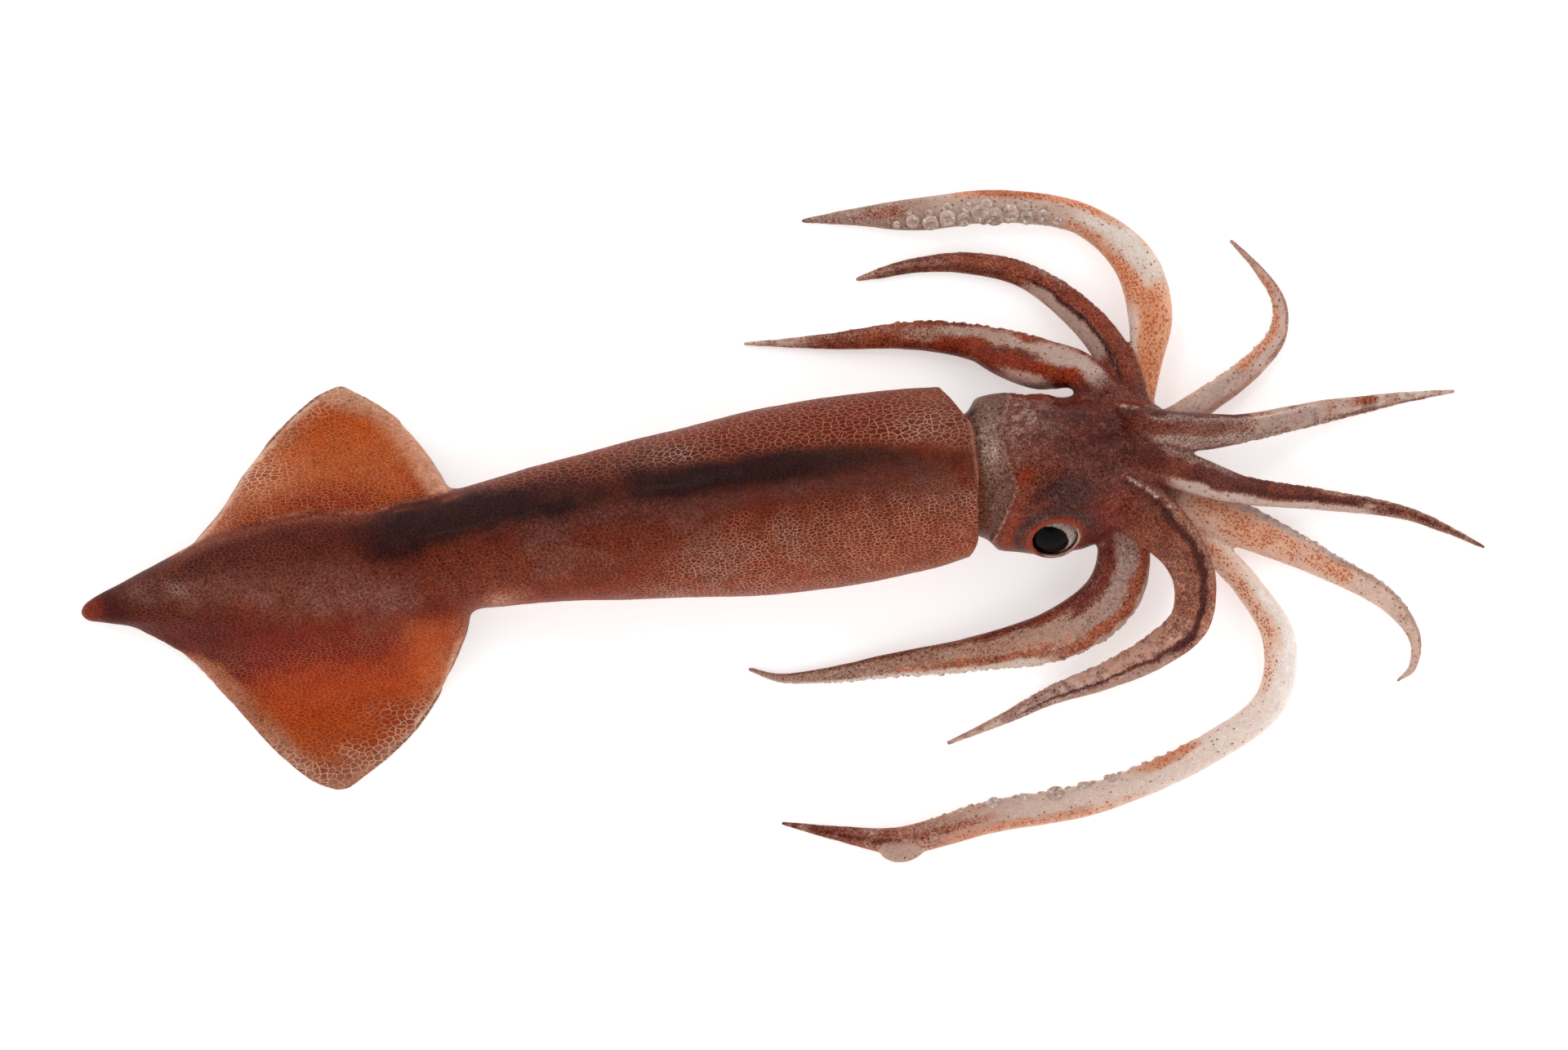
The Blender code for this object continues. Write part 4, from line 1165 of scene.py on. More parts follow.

# Limb colours. along lists (share of the length, colour). lanes lists (share from, share to, place across
# from -1 on the right to 1 on the left, spread, colour, strength). freckles lists places with orange-brown
# freckles, and plain places without dots. dots, streak, blotch and the curl and glint amount say how much
# there is of fine dark dots, fibres, rust and maroon mottle, and pale curls and glints; the glints are
# painted highlights.
LOOKS = {
    "arm_1_left": dict(
        along=(
            (0.0, (84, 46, 40)), (0.16, (110, 64, 54)), (0.33, (130, 88, 76)), (0.42, (166, 138, 124)),
            (0.6, (178, 148, 134)), (0.75, (198, 174, 160)), (1.0, (200, 176, 162))),
        lanes=(
            # The thin pale lines at 0.62 and 0.6 along the upper side, from 0.1 to 0.58, are a painted
            # highlight.
            (0.05, 0.4, 0.9, 0.18, (86, 40, 34), 0.9), (0.1, 0.4, 0.62, 0.14, (132, 106, 98), 0.7),
            (0.4, 0.58, 0.6, 0.15, (200, 172, 158), 0.8), (0.1, 0.46, -0.55, 0.38, (150, 120, 108), 0.9),
            (0.42, 0.56, 0.1, 0.4, (164, 138, 128), 0.8), (0.69, 0.76, 0.3, 0.5, (156, 76, 50), 0.8),
            (0.6, 0.95, -0.8, 0.25, (112, 66, 54), 0.6)),
        dots=0.9, streak=0.6, blotch=0.35, curl_and_painted_glint_amount=0.7),
    "arm_1_right": dict(
        along=(
            (0.0, (84, 42, 36)), (0.2, (92, 44, 36)), (0.4, (92, 48, 40)), (0.6, (110, 58, 46)),
            (0.8, (122, 72, 58)), (1.0, (138, 96, 82))),
        lanes=(
            (0.02, 0.18, -0.75, 0.3, (118, 60, 46), 0.6), (0.16, 0.7, -0.76, 0.4, (194, 166, 154), 0.95),
            (0.12, 0.3, 0.8, 0.25, (136, 108, 100), 0.7), (0.3, 0.95, 0.05, 0.22, (68, 32, 29), 0.6),
            (0.66, 0.71, 0.05, 0.35, (190, 160, 144), 0.8), (0.55, 1.0, 0.85, 0.22, (150, 112, 98), 0.7),
            (0.7, 1.0, -0.85, 0.25, (158, 118, 102), 0.7)),
        dots=0.6, streak=0.8, blotch=0.45, curl_and_painted_glint_amount=0.6),
    "arm_2_left": dict(
        along=(
            (0.0, (96, 44, 36)), (0.12, (118, 52, 37)), (0.5, (130, 58, 39)), (0.8, (138, 78, 60)),
            (0.88, (198, 164, 150)), (1.0, (206, 176, 164))),
        lanes=(
            (0.02, 0.2, -0.35, 0.55, (182, 156, 146), 0.95),
            (0.14, 0.34, -0.66, 0.3, (176, 147, 135), 0.95), (0.3, 0.5, -0.5, 0.32, (168, 136, 122), 0.95),
            (0.46, 0.6, -0.1, 0.5, (154, 117, 102), 0.8), (0.22, 0.31, -0.97, 0.22, (134, 62, 42), 0.85),
            (0.1, 0.5, 0.3, 0.4, (130, 47, 27), 0.8), (0.18, 0.29, 0.88, 0.4, (206, 166, 150), 0.95),
            (0.62, 0.78, 0.85, 0.25, (146, 62, 38), 0.7), (0.6, 0.95, -0.6, 0.25, (146, 102, 86), 0.5)),
        dots=0.8, streak=0.5, blotch=0.5, curl_and_painted_glint_amount=0.5),
    "arm_2_right": dict(
        along=(
            (0.0, (98, 50, 41)), (0.12, (122, 66, 50)), (0.3, (144, 90, 73)), (0.42, (186, 138, 118)),
            (0.7, (200, 168, 154)), (1.0, (200, 168, 154))),
        lanes=(
            # The lane at 0.82 near the root is a painted highlight along the ridge; the dark lanes at 0.46
            # and 0.3 lie in the furrow, partly the arm's own dark line and partly painted shade in it.
            (0.06, 0.42, 0.46, 0.2, (70, 35, 32), 0.85), (0.38, 0.8, 0.3, 0.14, (78, 40, 35), 0.75),
            (0.42, 0.72, 0.8, 0.26, (168, 134, 120), 0.85), (0.02, 0.3, 0.82, 0.16, (146, 100, 84), 0.7),
            (0.15, 0.45, -0.4, 0.3, (136, 88, 70), 0.5), (0.7, 0.98, -0.75, 0.3, (160, 120, 104), 0.6)),
        dots=0.6, streak=0.8, blotch=0.4, curl_and_painted_glint_amount=0.7),
    "arm_3_left": dict(
        along=(
            (0.0, (100, 50, 41)), (0.25, (122, 56, 40)), (0.55, (140, 74, 57)), (0.8, (138, 84, 69)),
            (0.93, (140, 98, 84)), (1.0, (176, 144, 132))),
        lanes=(
            (0.16, 0.48, 0.68, 0.42, (180, 150, 138), 0.95), (0.06, 0.5, 0.14, 0.13, (66, 34, 31), 0.9),
            (0.1, 0.5, -0.75, 0.25, (126, 62, 46), 0.6), (0.38, 0.5, -0.8, 0.25, (148, 112, 98), 0.6),
            (0.56, 0.95, 0.6, 0.35, (94, 46, 37), 0.6), (0.74, 0.98, -0.2, 0.2, (146, 104, 90), 0.6)),
        dots=0.6, streak=0.8, blotch=0.4, curl_and_painted_glint_amount=0.6),
    "arm_3_right": dict(
        along=(
            (0.0, (112, 54, 44)), (0.12, (164, 134, 124)), (0.32, (176, 140, 125)), (0.5, (170, 128, 109)),
            (0.8, (160, 124, 108)), (1.0, (164, 128, 112))),
        lanes=(
            (0.0, 0.3, -0.74, 0.44, (104, 46, 36), 0.95), (0.04, 0.33, 0.78, 0.38, (150, 80, 57), 0.95),
            (0.28, 0.52, -0.88, 0.32, (122, 58, 42), 0.9), (0.52, 0.9, -0.88, 0.26, (128, 72, 56), 0.7),
            (0.36, 0.98, 0.86, 0.22, (204, 182, 170), 0.9), (0.34, 0.62, 0.45, 0.18, (148, 86, 64), 0.6),
            (0.14, 0.33, 1.0, 0.14, (180, 154, 142), 0.8)),
        freckles=((0.3, 0.7, 0.4, 0.3, 0.7),),
        dots=0.9, streak=0.3, blotch=0.1, curl_and_painted_glint_amount=0.5),
    "arm_4_left": dict(
        along=(
            (0.0, (164, 132, 120)), (0.3, (202, 172, 158)), (0.6, (206, 174, 160)), (1.0, (186, 146, 130))),
        lanes=(
            (0.0, 0.45, -0.85, 0.25, (186, 138, 116), 0.7), (0.05, 0.5, 0.3, 0.35, (182, 156, 144), 0.6),
            (0.5, 1.0, -0.8, 0.25, (138, 90, 74), 0.6)),
        freckles=((0.4, 0.85, 0.55, 0.4, 0.9),),
        dots=1.0, streak=0.3, blotch=0.1, curl_and_painted_glint_amount=0.7),
    "arm_4_right": dict(
        along=(
            (0.0, (208, 168, 148)), (0.15, (220, 180, 160)), (0.3, (222, 180, 159)), (0.5, (216, 180, 163)),
            (0.75, (210, 178, 162)), (1.0, (200, 164, 148))),
        lanes=((0.1, 0.9, 0.88, 0.22, (190, 168, 160), 0.9), (0.55, 0.95, 0.7, 0.2, (150, 108, 94), 0.4)),
        freckles=((0.12, 0.62, -0.05, 0.7, 0.8),),
        dots=0.8, streak=0.1, blotch=0.0, curl_and_painted_glint_amount=0.6),
    "tentacle_left": dict(
        along=(
            (0.0, (212, 152, 120)), (0.08, (222, 160, 126)), (0.2, (224, 166, 134)), (0.3, (220, 188, 168)),
            (0.45, (206, 170, 150)), (0.52, (192, 163, 149)), (0.7, (182, 156, 144)),
            (0.8, (158, 126, 113)), (0.9, (156, 124, 112)), (1.0, (150, 116, 104))),
        lanes=(
            (0.04, 0.25, 0.85, 0.3, (222, 196, 182), 0.95), (0.26, 0.47, -0.35, 0.55, (219, 202, 191), 0.9),
            (0.03, 0.22, 0.1, 0.5, (210, 148, 114), 0.8), (0.17, 0.28, -0.05, 0.5, (212, 152, 120), 0.8),
            (0.24, 0.42, 0.78, 0.28, (208, 150, 118), 0.7), (0.51, 0.68, -0.88, 0.28, (170, 98, 68), 0.85),
            (0.4, 0.51, -0.82, 0.3, (200, 144, 116), 0.7), (0.69, 0.75, -0.5, 0.6, (184, 156, 143), 0.9),
            (0.8, 0.84, -0.3, 0.35, (146, 82, 62), 0.8), (0.86, 0.89, 0.1, 0.3, (136, 78, 60), 0.7)),
        freckles=(
            (0.02, 0.27, -0.15, 0.7, 1.0), (0.24, 0.36, 0.55, 0.42, 1.0), (0.28, 0.5, 0.7, 0.34, 0.8),
            (0.42, 0.7, -0.8, 0.3, 0.8)),
        dots=0.7, streak=0.1, blotch=0.0, curl_and_painted_glint_amount=0.3),
    "tentacle_right": dict(
        along=(
            (0.0, (236, 204, 185)), (0.12, (238, 206, 188)), (0.22, (238, 212, 198)),
            (0.3, (236, 216, 205)), (0.42, (226, 204, 192)), (0.56, (214, 189, 176)),
            (0.7, (200, 171, 157)), (0.78, (180, 138, 120)), (0.86, (140, 82, 66)), (1.0, (112, 56, 45))),
        # The plain place and the whitest lane, on the outer side of the bend, are a painted highlight: near
        # white, without dots.
        plain=((0.15, 0.4, 0.6, 0.6),),
        lanes=(
            (0.16, 0.34, 0.6, 0.45, (238, 226, 218), 0.95), (0.0, 0.2, 0.85, 0.3, (238, 214, 200), 0.8),
            (0.46, 0.52, -0.7, 0.35, (184, 120, 94), 0.8), (0.6, 0.8, 0.6, 0.25, (188, 134, 112), 0.6),
            (0.84, 0.97, 0.1, 0.22, (84, 38, 32), 0.7), (0.74, 0.84, 0.0, 0.25, (148, 82, 64), 0.7)),
        freckles=(
            (0.0, 0.13, -0.1, 0.75, 0.7), (0.1, 0.26, -0.38, 0.55, 0.7), (0.25, 0.34, -0.8, 0.4, 0.5),
            (0.46, 0.52, -0.7, 0.4, 0.9), (0.55, 0.8, 0.8, 0.3, 0.6)),
        dots=0.35, streak=0.1, blotch=0.0, curl_and_painted_glint_amount=0.3),
}


def flat_bump(value, middle, spread, power):
    """1 round the middle, and 0 beyond the spread: the higher the power, the sharper."""
    return np.exp(-(((value - middle) / spread) ** power))


def paint_limb(points, place, look, normal, number):
    """Paint of one limb, for all of the crown's points."""
    share, across = place["share"], place["across"]
    paint = Paint(len(points), (120, 70, 60))
    tint, spot, amount = paint.tint_with, paint.spot_with, paint.set
    paint.tint[:] = gradient(share, look["along"])
    coarse = fractal(points, 9.0, 3, 10.0 + number)
    fine = fractal(points, 2.6, 3, 30.0 + number)
    ragged = across + 0.16 * coarse + 0.08 * fine
    blotch = look["blotch"]
    tint((146, 66, 40), blotch * 0.75 * rise(coarse + 0.7 * fine, 0.10, 0.45))
    tint((70, 33, 29), blotch * 0.8 * rise(-coarse + 0.7 * fine, 0.15, 0.5))
    for start, end, middle, spread, colour, strength in look["lanes"]:
        weight = stretch(share + 0.03 * coarse, start, end, 0.03) * flat_bump(ragged, middle, spread, 6)
        tint(colour, min(1.0, 1.12 * strength) * weight)
    tint((162, 126, 112), 0.7 * rise(share, 0.66, 0.92) * rise(fine + 0.6 * coarse, 0.0, 0.45))
    pale = rise(paint.tint[:, 1], 96, 150)
    paint.spot[:] = np.array((74, 32, 27)) + pale[:, None] * np.array((52, 34, 26))
    paint.dots[:] = look["dots"] * (0.5 + 0.4 * pale)
    for start, end, middle, spread in look.get("plain", ()):
        amount("dots", 0.0, stretch(share, start, end, 0.03) * flat_bump(across, middle, spread, 4))
    for start, end, middle, spread, strength in look.get("freckles", ()):
        weight = stretch(share + 0.03 * coarse, start, end, 0.03) * flat_bump(ragged, middle, spread, 4)
        weight *= np.clip(0.85 + 0.8 * coarse, 0.35, 1.0)
        amount("dots", 1.0 + strength, weight)
        tint((216, 142, 102), 0.65 * strength * weight * pale)
        spot((178, 88, 52), np.clip(1.5 * weight, 0, 1))
    under = rise(-normal[:, 2], 0.1, 0.7)
    tint((190, 152, 136), 0.6 * under)
    paint.streak[:] = look["streak"] * (1.0 - 0.7 * pale)
    ridge = rise(np.abs(across), 0.5, 0.85)
    # Amount of pale curls and painted highlights (glints), most along the limb's sides.
    paint.curls_and_painted_glints[:] = look["curl_and_painted_glint_amount"] * (0.12 + 0.88 * ridge) * np.clip(0.6 + 1.4 * coarse, 0.0, 1.0)
    paint.mottle[:] = 1.9 - 1.5 * pale
    paint.net[:] = paint.tint * 0.6 + np.array(PALE_NET) * 0.4
    paint.cell[:] = 0.2
    radius = 0.5 * place["width"]
    around = np.radians(place["angle"]) * radius
    paint.lane = np.column_stack([place["along"], around, np.full(len(points), LANE_GAP * number)])
    return paint


def mantle_surface_mesh():
    """The mantle with its fins, whose thin hanging margins are smoothed more than the rest."""
    mantle = new_object("mantle", *skin(mantle_rings(*MANTLE_MESH)))
    fins = [
        new_object("fin_right", *skin(fin_rings(FIN_RIGHT, FIN_ROOT_RIGHT, -1.0, *FIN_RIGHT_MESH))),
        new_object("fin_left", *skin(fin_rings(FIN_LEFT, FIN_ROOT_LEFT, 1.0, *FIN_LEFT_MESH))),
    ]
    combine(mantle, fins, "UNION")
    surface = Surface(*remeshed(mantle, SKIN_VOXEL))
    x, y, z = surface.points.T
    rim = np.minimum(line_distance(x, y, FIN_LEFT), line_distance(x, y, FIN_RIGHT))
    height = surface.soften(z, 16)
    hanging = (1 - rise(rim, 4.0, 8.0)) * rise(height, 1.6, 2.6) * (surface.normals()[:, 2] < 0.6)
    hanging = surface.soften(hanging, 3)
    surface.relax(40, back=0.0, where=hanging)
    surface.relax(12, where=1 - rise(rim, 3.5, 6.0))
    surface.relax(6)
    surface.fill_creases(30)
    surface.relax(6)
    uneven = 0.35 * fractal(surface.points, 26.0, 2, 5.0) + 0.10 * fractal(surface.points, 6.0, 2, 6.0)
    surface.push(uneven * rise(surface.points[:, 2], 1.0, 5.0))
    surface.settle()
    return surface


def crown_surface_mesh():
    """The head with its limbs, lids, funnel and the club's lobe, as one skin with open eye sockets."""
    head = new_object("head", *skin(head_rings(*HEAD_MESH)))
    others = [new_object(limb, *skin(limb_rings(limb))) for limb in LIMBS]
    others.append(new_object("funnel", *skin(funnel_rings())))
    points, faces = ball((0.0, 0.0, 0.0), 1.0)
    others.append(new_object("lobe", np.array(points) * CLUB_LOBE[1] + np.array(CLUB_LOBE[0]), faces))
    cutters = []
    for centre, angle in (EYE_RIGHT, EYE_LEFT):
        others.append(new_object("lid", *ball(centre, EYE_RADIUS + EYE_GAP + LID_THICKNESS)))
        points, faces = ball(centre, EYE_RADIUS + EYE_GAP)
        cutters.append(new_object("socket", turned(points, centre, angle), faces))
        cutters.append(new_object("opening", *eye_opening(centre, EYE_RADIUS, angle)))
    combine(head, others, "UNION")
    combine(head, cutters, "DIFFERENCE")
    surface = Surface(*remeshed(head, CROWN_VOXEL))
    surface.relax(4)
    surface.fill_creases(26)
    surface.relax(4)
    return surface


def thin_tips(surface, places, nearest):
    """Brings the limbs' ends, built thicker than they are, down to their real width."""
    for number, place in enumerate(places):
        factor = np.clip(place["width"] / THINNEST_BUILT, 0.35, 1.0)
        own = (nearest == number) & (factor < 1.0) & (place["reach"] < 2.0)
        middle = place["middle"][own]
        surface.points[own] = middle + (surface.points[own] - middle) * factor[own][:, None]


def scallop(surface, places, nearest):
    """Raises the row of low bumps along the edges of the limbs."""
    raised = np.zeros(len(surface.points))
    numbers = {limb: number for number, limb in enumerate(LIMBS)}
    for limb, start, end, spacing, turn, height in SCALLOPS:
        place = places[numbers[limb]]
        along = place["along"]
        uneven = along + 0.6 * np.sin(0.9 * along) + 0.5 * np.sin(2.3 * along)
        wave = 0.5 + 0.5 * np.cos(2 * math.pi * uneven / spacing)
        on_edge = band(angle_apart(place["angle"], turn), 0.0, 32.0) * (nearest == numbers[limb])
        size = height * np.minimum(1.0, place["width"] / 6.0)
        raised += size * (wave - 0.35) * on_edge * stretch(place["share"], start, end, 0.05)
    surface.push(raised)


def cup(centre, axis, radius):
    """Rings of one sucker: a short stalk, a swollen ring and a dished mouth."""
    axis = axis / np.linalg.norm(axis)
    across = np.cross(axis, (0.0, 0.0, 1.0))
    if np.linalg.norm(across) < 0.1:
        across = np.cross(axis, (1.0, 0.0, 0.0))
    across /= np.linalg.norm(across)
    other = np.cross(axis, across)
    angle = np.arange(CUP_SIDES) * 2 * math.pi / CUP_SIDES
    around = np.cos(angle)[:, None] * across + np.sin(angle)[:, None] * other
    return [centre + axis * radius * lift + around * radius * share for lift, share in CUP_PROFILE]


def cup_rows(rows, tree, seed):
    """Points, faces and colours of all suckers of the rows, set on the skin."""
    random = np.random.default_rng(seed)
    points, faces, shade = [], [], []
    last = SUCKER_STEPS - 1
    for row in rows:
        length = limb_length(row["limb"])
        count = int((row["end"] - row["start"]) * length / row["spacing"]) + 1
        line, width, _ = limb_line(row["limb"], SUCKER_STEPS)
        _, side, up = limb_frames(line)
        for number in range(count):
            share = number / max(count - 1, 1)
            i = int(round((row["start"] + (row["end"] - row["start"]) * share) * last))
            room = min(1.0, width[i] / 5.0)
            radius = row["radius"] * (0.35 + 0.65 * math.sin(math.pi * (0.12 + 0.80 * share))) * room
            radius *= random.uniform(0.78, 1.15)
            turn = math.radians(row["turn"] + 5.0 * (-1) ** number + random.uniform(-6, 6))
            axis = math.sin(turn) * side[i] + math.cos(turn) * up[i]
            start = line[i] + axis * 0.1
            hit, normal, _, _ = tree.ray_cast(Vector(start), Vector(axis), SKIN_REACH)
            if hit is None:
                continue
            facing = 0.6 * axis + 0.4 * np.array(normal) + random.uniform(-0.3, 0.3, 3)
            centre = np.array(hit) - axis * 0.30 * radius
            centre[2] = max(centre[2], 0.8 * radius)
            ring_points, ring_faces = skin(cup(centre, facing, radius))
            ring_points = [(px, py, max(pz, 0.0)) for px, py, pz in ring_points]
            first = len(points)
            points += ring_points
            faces += [tuple(first + k for k in face) for face in ring_faces]
            shade += [random.uniform(-1, 1)] * len(ring_points)
    return points, faces, shade


def eyeball(name, centre, angle):
    """An eyeball whose front is a shallow dome over the pupil, with its own coordinates for the shading."""
    rows, sides = EYE_MESH
    profile = []
    for row in range(1, rows):
        polar = math.pi * row / rows
        radius = EYE_RADIUS * (1 + EYE_DOME * math.exp(-((polar / 0.5) ** 2)))
        profile.append((radius * math.sin(polar), radius * math.cos(polar)))
    local, faces = round_body((0.0, 0.0, 0.0), profile, (EYE_RADIUS * (1 + EYE_DOME), -EYE_RADIUS), sides)
    world = turned([tuple(np.array(p) + np.array(centre)) for p in local], centre, angle)
    obj = new_object(name, world, faces)
    obj.data.shade_smooth()
    write_layer(obj.data, "local", "FLOAT_VECTOR", "vector", local)
    return obj


class Value:
    """A node's output, whose sums, products and comparisons add math nodes."""

    def __init__(self, tree, socket):
        self.tree = tree
        self.socket = socket

    def other(self, name):
        """Another output of the same node."""
        return Value(self.tree, self.socket.node.outputs[name])

    def __add__(self, second):
        return self.tree.math("ADD", self, second)

    def __radd__(self, first):
        return self.tree.math("ADD", first, self)

    def __sub__(self, second):
        return self.tree.math("SUBTRACT", self, second)

    def __mul__(self, second):
        return self.tree.math("MULTIPLY", self, second)

    def __truediv__(self, second):
        return self.tree.math("DIVIDE", self, second)

    def __gt__(self, second):
        return self.tree.math("GREATER_THAN", self, second)


class Tree:
    """The node tree of a new material or world, with short ways to add and join nodes."""

    def __init__(self, owner):
        owner.use_nodes = True
        self.owner = owner
        self.nodes = owner.node_tree.nodes
        self.links = owner.node_tree.links

    def feed(self, socket, value):
        """Joins a value to the socket, or gives the socket a number or a colour."""
        if isinstance(value, Value):
            self.links.new(value.socket, socket)
        else:
            socket.default_value = value

    def shade(self, inputs):
        """Feeds the shader and returns the material or world."""
        shader = self.nodes.get("Principled BSDF") or self.nodes["Background"]
        for name, value in inputs.items():
            self.feed(shader.inputs[name], value)
        return self.owner

    def add(self, kind, inputs, output=0, **settings):
        node = self.nodes.new(kind)
        for name, value in settings.items():
            setattr(node, name, value)
        for name, value in inputs.items():
            self.feed(node.inputs[name], value)
        return Value(self, node.outputs[output])

    def math(self, operation, first, second=0.0, clamp=False):
        return self.add("ShaderNodeMath", {0: first, 1: second}, operation=operation, use_clamp=clamp)

    def vector_math(self, operation, first, second):
        return self.add("ShaderNodeVectorMath", {0: first, 1: second}, operation=operation)

    def scaled(self, vector, scale):
        return self.add("ShaderNodeVectorMath", {0: vector, "Scale": scale}, operation="SCALE")

    def remap(self, value, low, high, to_low=0.0, to_high=1.0):
        inputs = {"Value": value, "From Min": low, "From Max": high, "To Min": to_low, "To Max": to_high}
        return self.add("ShaderNodeMapRange", inputs, "Result", interpolation_type="SMOOTHSTEP")

    def mix(self, first, second, share, blend="MIX"):
        """A mix of two colours."""
        inputs = {0: share, 6: first, 7: second}
        return self.add("ShaderNodeMix", inputs, 2, data_type="RGBA", blend_type=blend)

    def blend(self, first, second, share):
        """A mix of two numbers."""
        return self.add("ShaderNodeMix", {0: share, 2: first, 3: second}, data_type="FLOAT")

    def attribute(self, name, output="Vector"):
        return self.add("ShaderNodeAttribute", {}, output, attribute_name=name)

    def parts(self, vector):
        first = self.add("ShaderNodeSeparateXYZ", {"Vector": vector})
        return first, first.other("Y"), first.other("Z")

    def place(self):
        """The place on the object in millimetres."""
        return self.scaled(self.add("ShaderNodeTexCoord", {}, "Object"), 1 / MM)

    def noise(self, vector, scale, detail=2.0, roughness=0.5, output="Fac"):
        inputs = {"Vector": vector, "Scale": scale, "Detail": detail, "Roughness": roughness}
        return self.add("ShaderNodeTexNoise", inputs, output)

    def voronoi(self, vector, cell, feature="F1"):
        """Distances in flat cells of the given length and width."""
        inputs = {"Vector": self.vector_math("DIVIDE", vector, (cell[0], cell[1], 1.0)), "Scale": 1.0}
        return self.add(
            "ShaderNodeTexVoronoi", inputs, "Distance", feature=feature, voronoi_dimensions="2D")

    def chances(self, distance):
        """Three random numbers for each cell of such distances."""
        return self.parts(distance.other("Color"))

    def bump(self, height, strength, depth):
        """Relief of the given depth in millimetres."""
        return self.add("ShaderNodeBump", {"Height": height, "Strength": strength, "Distance": depth * MM})


# Sizes of the pattern's cells and dots, along and across the body.
FINE_CELL = (1.45, 0.98)
COARSE_CELL = (2.15, 1.35)
DOT_CELL = (1.45, 1.10)
SMALL_DOT_CELL = (1.00, 0.85)
FRECKLE_CELL = (1.15, 0.78)


def skin_material(name, wet):
    """Wet squid skin: cells with pale borders, mottling, dots, freckles, fibres along the limbs, and pale
    curls with painted highlights.
    """
    tree = Tree(bpy.data.materials.new(name))
    place = tree.place()
    lane = tree.attribute("lane")
    wobble = tree.vector_math("SUBTRACT", tree.noise(place, 0.45, output="Color"), (0.5, 0.5, 0.5))
    warped = tree.vector_math("ADD", place, tree.scaled(wobble, 1.6))
    flat = tree.vector_math("ADD", lane, tree.scaled(wobble, 1.3))
    cell, coarse, dots = tree.parts(tree.attribute("pattern"))
    streak, curl_and_painted_glint_amount, mottle = tree.parts(tree.attribute("fibre_painted_glint_mottle"))

    # The cells' pale borders, and each cell's own tone.
    fine_edge, coarse_edge = (
        tree.voronoi(flat, size, "DISTANCE_TO_EDGE") for size in (FINE_CELL, COARSE_CELL))
    broken = tree.remap(tree.noise(place, 0.30, 3.0), 0.34, 0.56, 0.5, 1.0)
    fine_line = tree.remap(fine_edge, 0.02, 0.12, 1.0, 0.0) * broken
    coarse_line = tree.remap(coarse_edge, 0.02, 0.11, 1.0, 0.0)
    line = tree.math("MULTIPLY", tree.blend(fine_line, coarse_line, coarse), cell, clamp=True)
    fine_tone, coarse_tone = (tree.chances(tree.voronoi(flat, size))[0] for size in (FINE_CELL, COARSE_CELL))
    tone = (tree.blend(fine_tone, coarse_tone, coarse) - 0.5) * (cell * 0.55)

    # Mottling and grain, and the limbs' fibres.
    patches = tree.noise(place, 0.16, 4.0, 0.6) - 0.5
    specks = tree.noise(place, 0.9, 3.0, 0.6) - 0.5
    uneven = (patches * 0.9 + specks) * mottle
    grain = tree.noise(place, 1.9, 2.0, 0.7) - 0.5
    fibre = tree.noise(tree.vector_math("MULTIPLY", lane, (0.10, 1.5, 1.0)), 1.0, 3.0, 0.6) - 0.5
    fibre *= streak
    value = uneven * 0.80 + tone + grain * mottle * 1.5 + fibre * 1.5
    gains = enumerate((0.75, 1.05, 1.10))
    channels = {channel: tree.math("MAXIMUM", 1.0 + value * gain, 0.2) for channel, gain in gains}
    shade = tree.add("ShaderNodeCombineXYZ", channels)

    colour = tree.mix(tree.attribute("tint", "Color"), shade, 1.0, "MULTIPLY")
    granule = tree.noise(place, 1.5, 3.0, 0.65)
    amount = tree.math("MULTIPLY", mottle - 0.50, 1.1, clamp=True)
    dark = tree.remap(granule, 0.36, 0.50, 1.0, 0.0) * amount
    light = tree.remap(granule, 0.50, 0.66) * amount
    for gain, share in (((0.56, 0.38, 0.34, 1.0), dark), ((1.50, 1.80, 1.90, 1.0), light)):
        colour = tree.mix(colour, tree.mix(colour, gain, 1.0, "MULTIPLY"), share)
    colour = tree.mix(colour, tree.attribute("net", "Color"), line)

    # Pigment dots, smaller dots between them, and orange freckles where the dots' weight is above 1.
    distance = tree.voronoi(flat, DOT_CELL)
    chance, size, _ = tree.chances(distance)
    spots = tree.remap(distance - (0.08 + size * 0.18), -0.05, 0.05, 1.0, 0.0) * (dots * 0.5 > chance)
    distance = tree.voronoi(flat, SMALL_DOT_CELL)
    chance = tree.chances(distance)[0]
    small_spots = tree.remap(distance, 0.10, 0.22, 1.0, 0.0) * (dots * 0.4 > chance)
    spots = tree.math("MAXIMUM", spots, small_spots * 0.6)
    distance = tree.voronoi(flat, FRECKLE_CELL)
    chance, size, _ = tree.chances(distance)
    freckled = tree.math("SUBTRACT", dots, 1.0, clamp=True)
    freckles = tree.remap(distance - (0.24 + size * 0.20), -0.06, 0.06, 1.0, 0.0)
    spots = tree.math("MAXIMUM", spots, freckles * (freckled * 1.15 > chance))
    colour = tree.mix(colour, tree.attribute("spot", "Color"), spots * 0.85)

    # Pale curls, and glints that are painted highlights, on the wet head and limbs.
    there = tree.remap(tree.noise(place, 0.22), 0.42, 0.58)
    curl = tree.math("ABSOLUTE", tree.noise(warped, 0.5, 3.0, 0.6) - 0.5)
    curl = tree.remap(curl, 0.004, 0.02, 1.0, 0.0) * there
    curl = tree.math("MULTIPLY", curl, curl_and_painted_glint_amount, clamp=True)
    colour = tree.mix(colour, (0.50, 0.40, 0.35, 1.0), curl * 0.8)
    glint = tree.remap(tree.noise(warped, 1.25), 0.64, 0.70) * there
    glint *= tree.math("MULTIPLY", curl_and_painted_glint_amount, 1.4, clamp=True)
    colour = tree.mix(colour, (0.55, 0.46, 0.41, 1.0), glint * 0.65)

    height = line * 0.5 + grain * 0.9 + specks * 1.4 + fibre * 1.6 + curl * 0.6
    return tree.shade({
        "Base Color": colour,
        "Roughness": tree.math("SUBTRACT", 0.42 + specks * 0.35, curl * 0.2, clamp=True),
        "Normal": tree.bump(height, 0.5, 0.25),
        "Specular IOR Level": 0.07, "Coat Weight": wet, "Coat Roughness": 0.12})


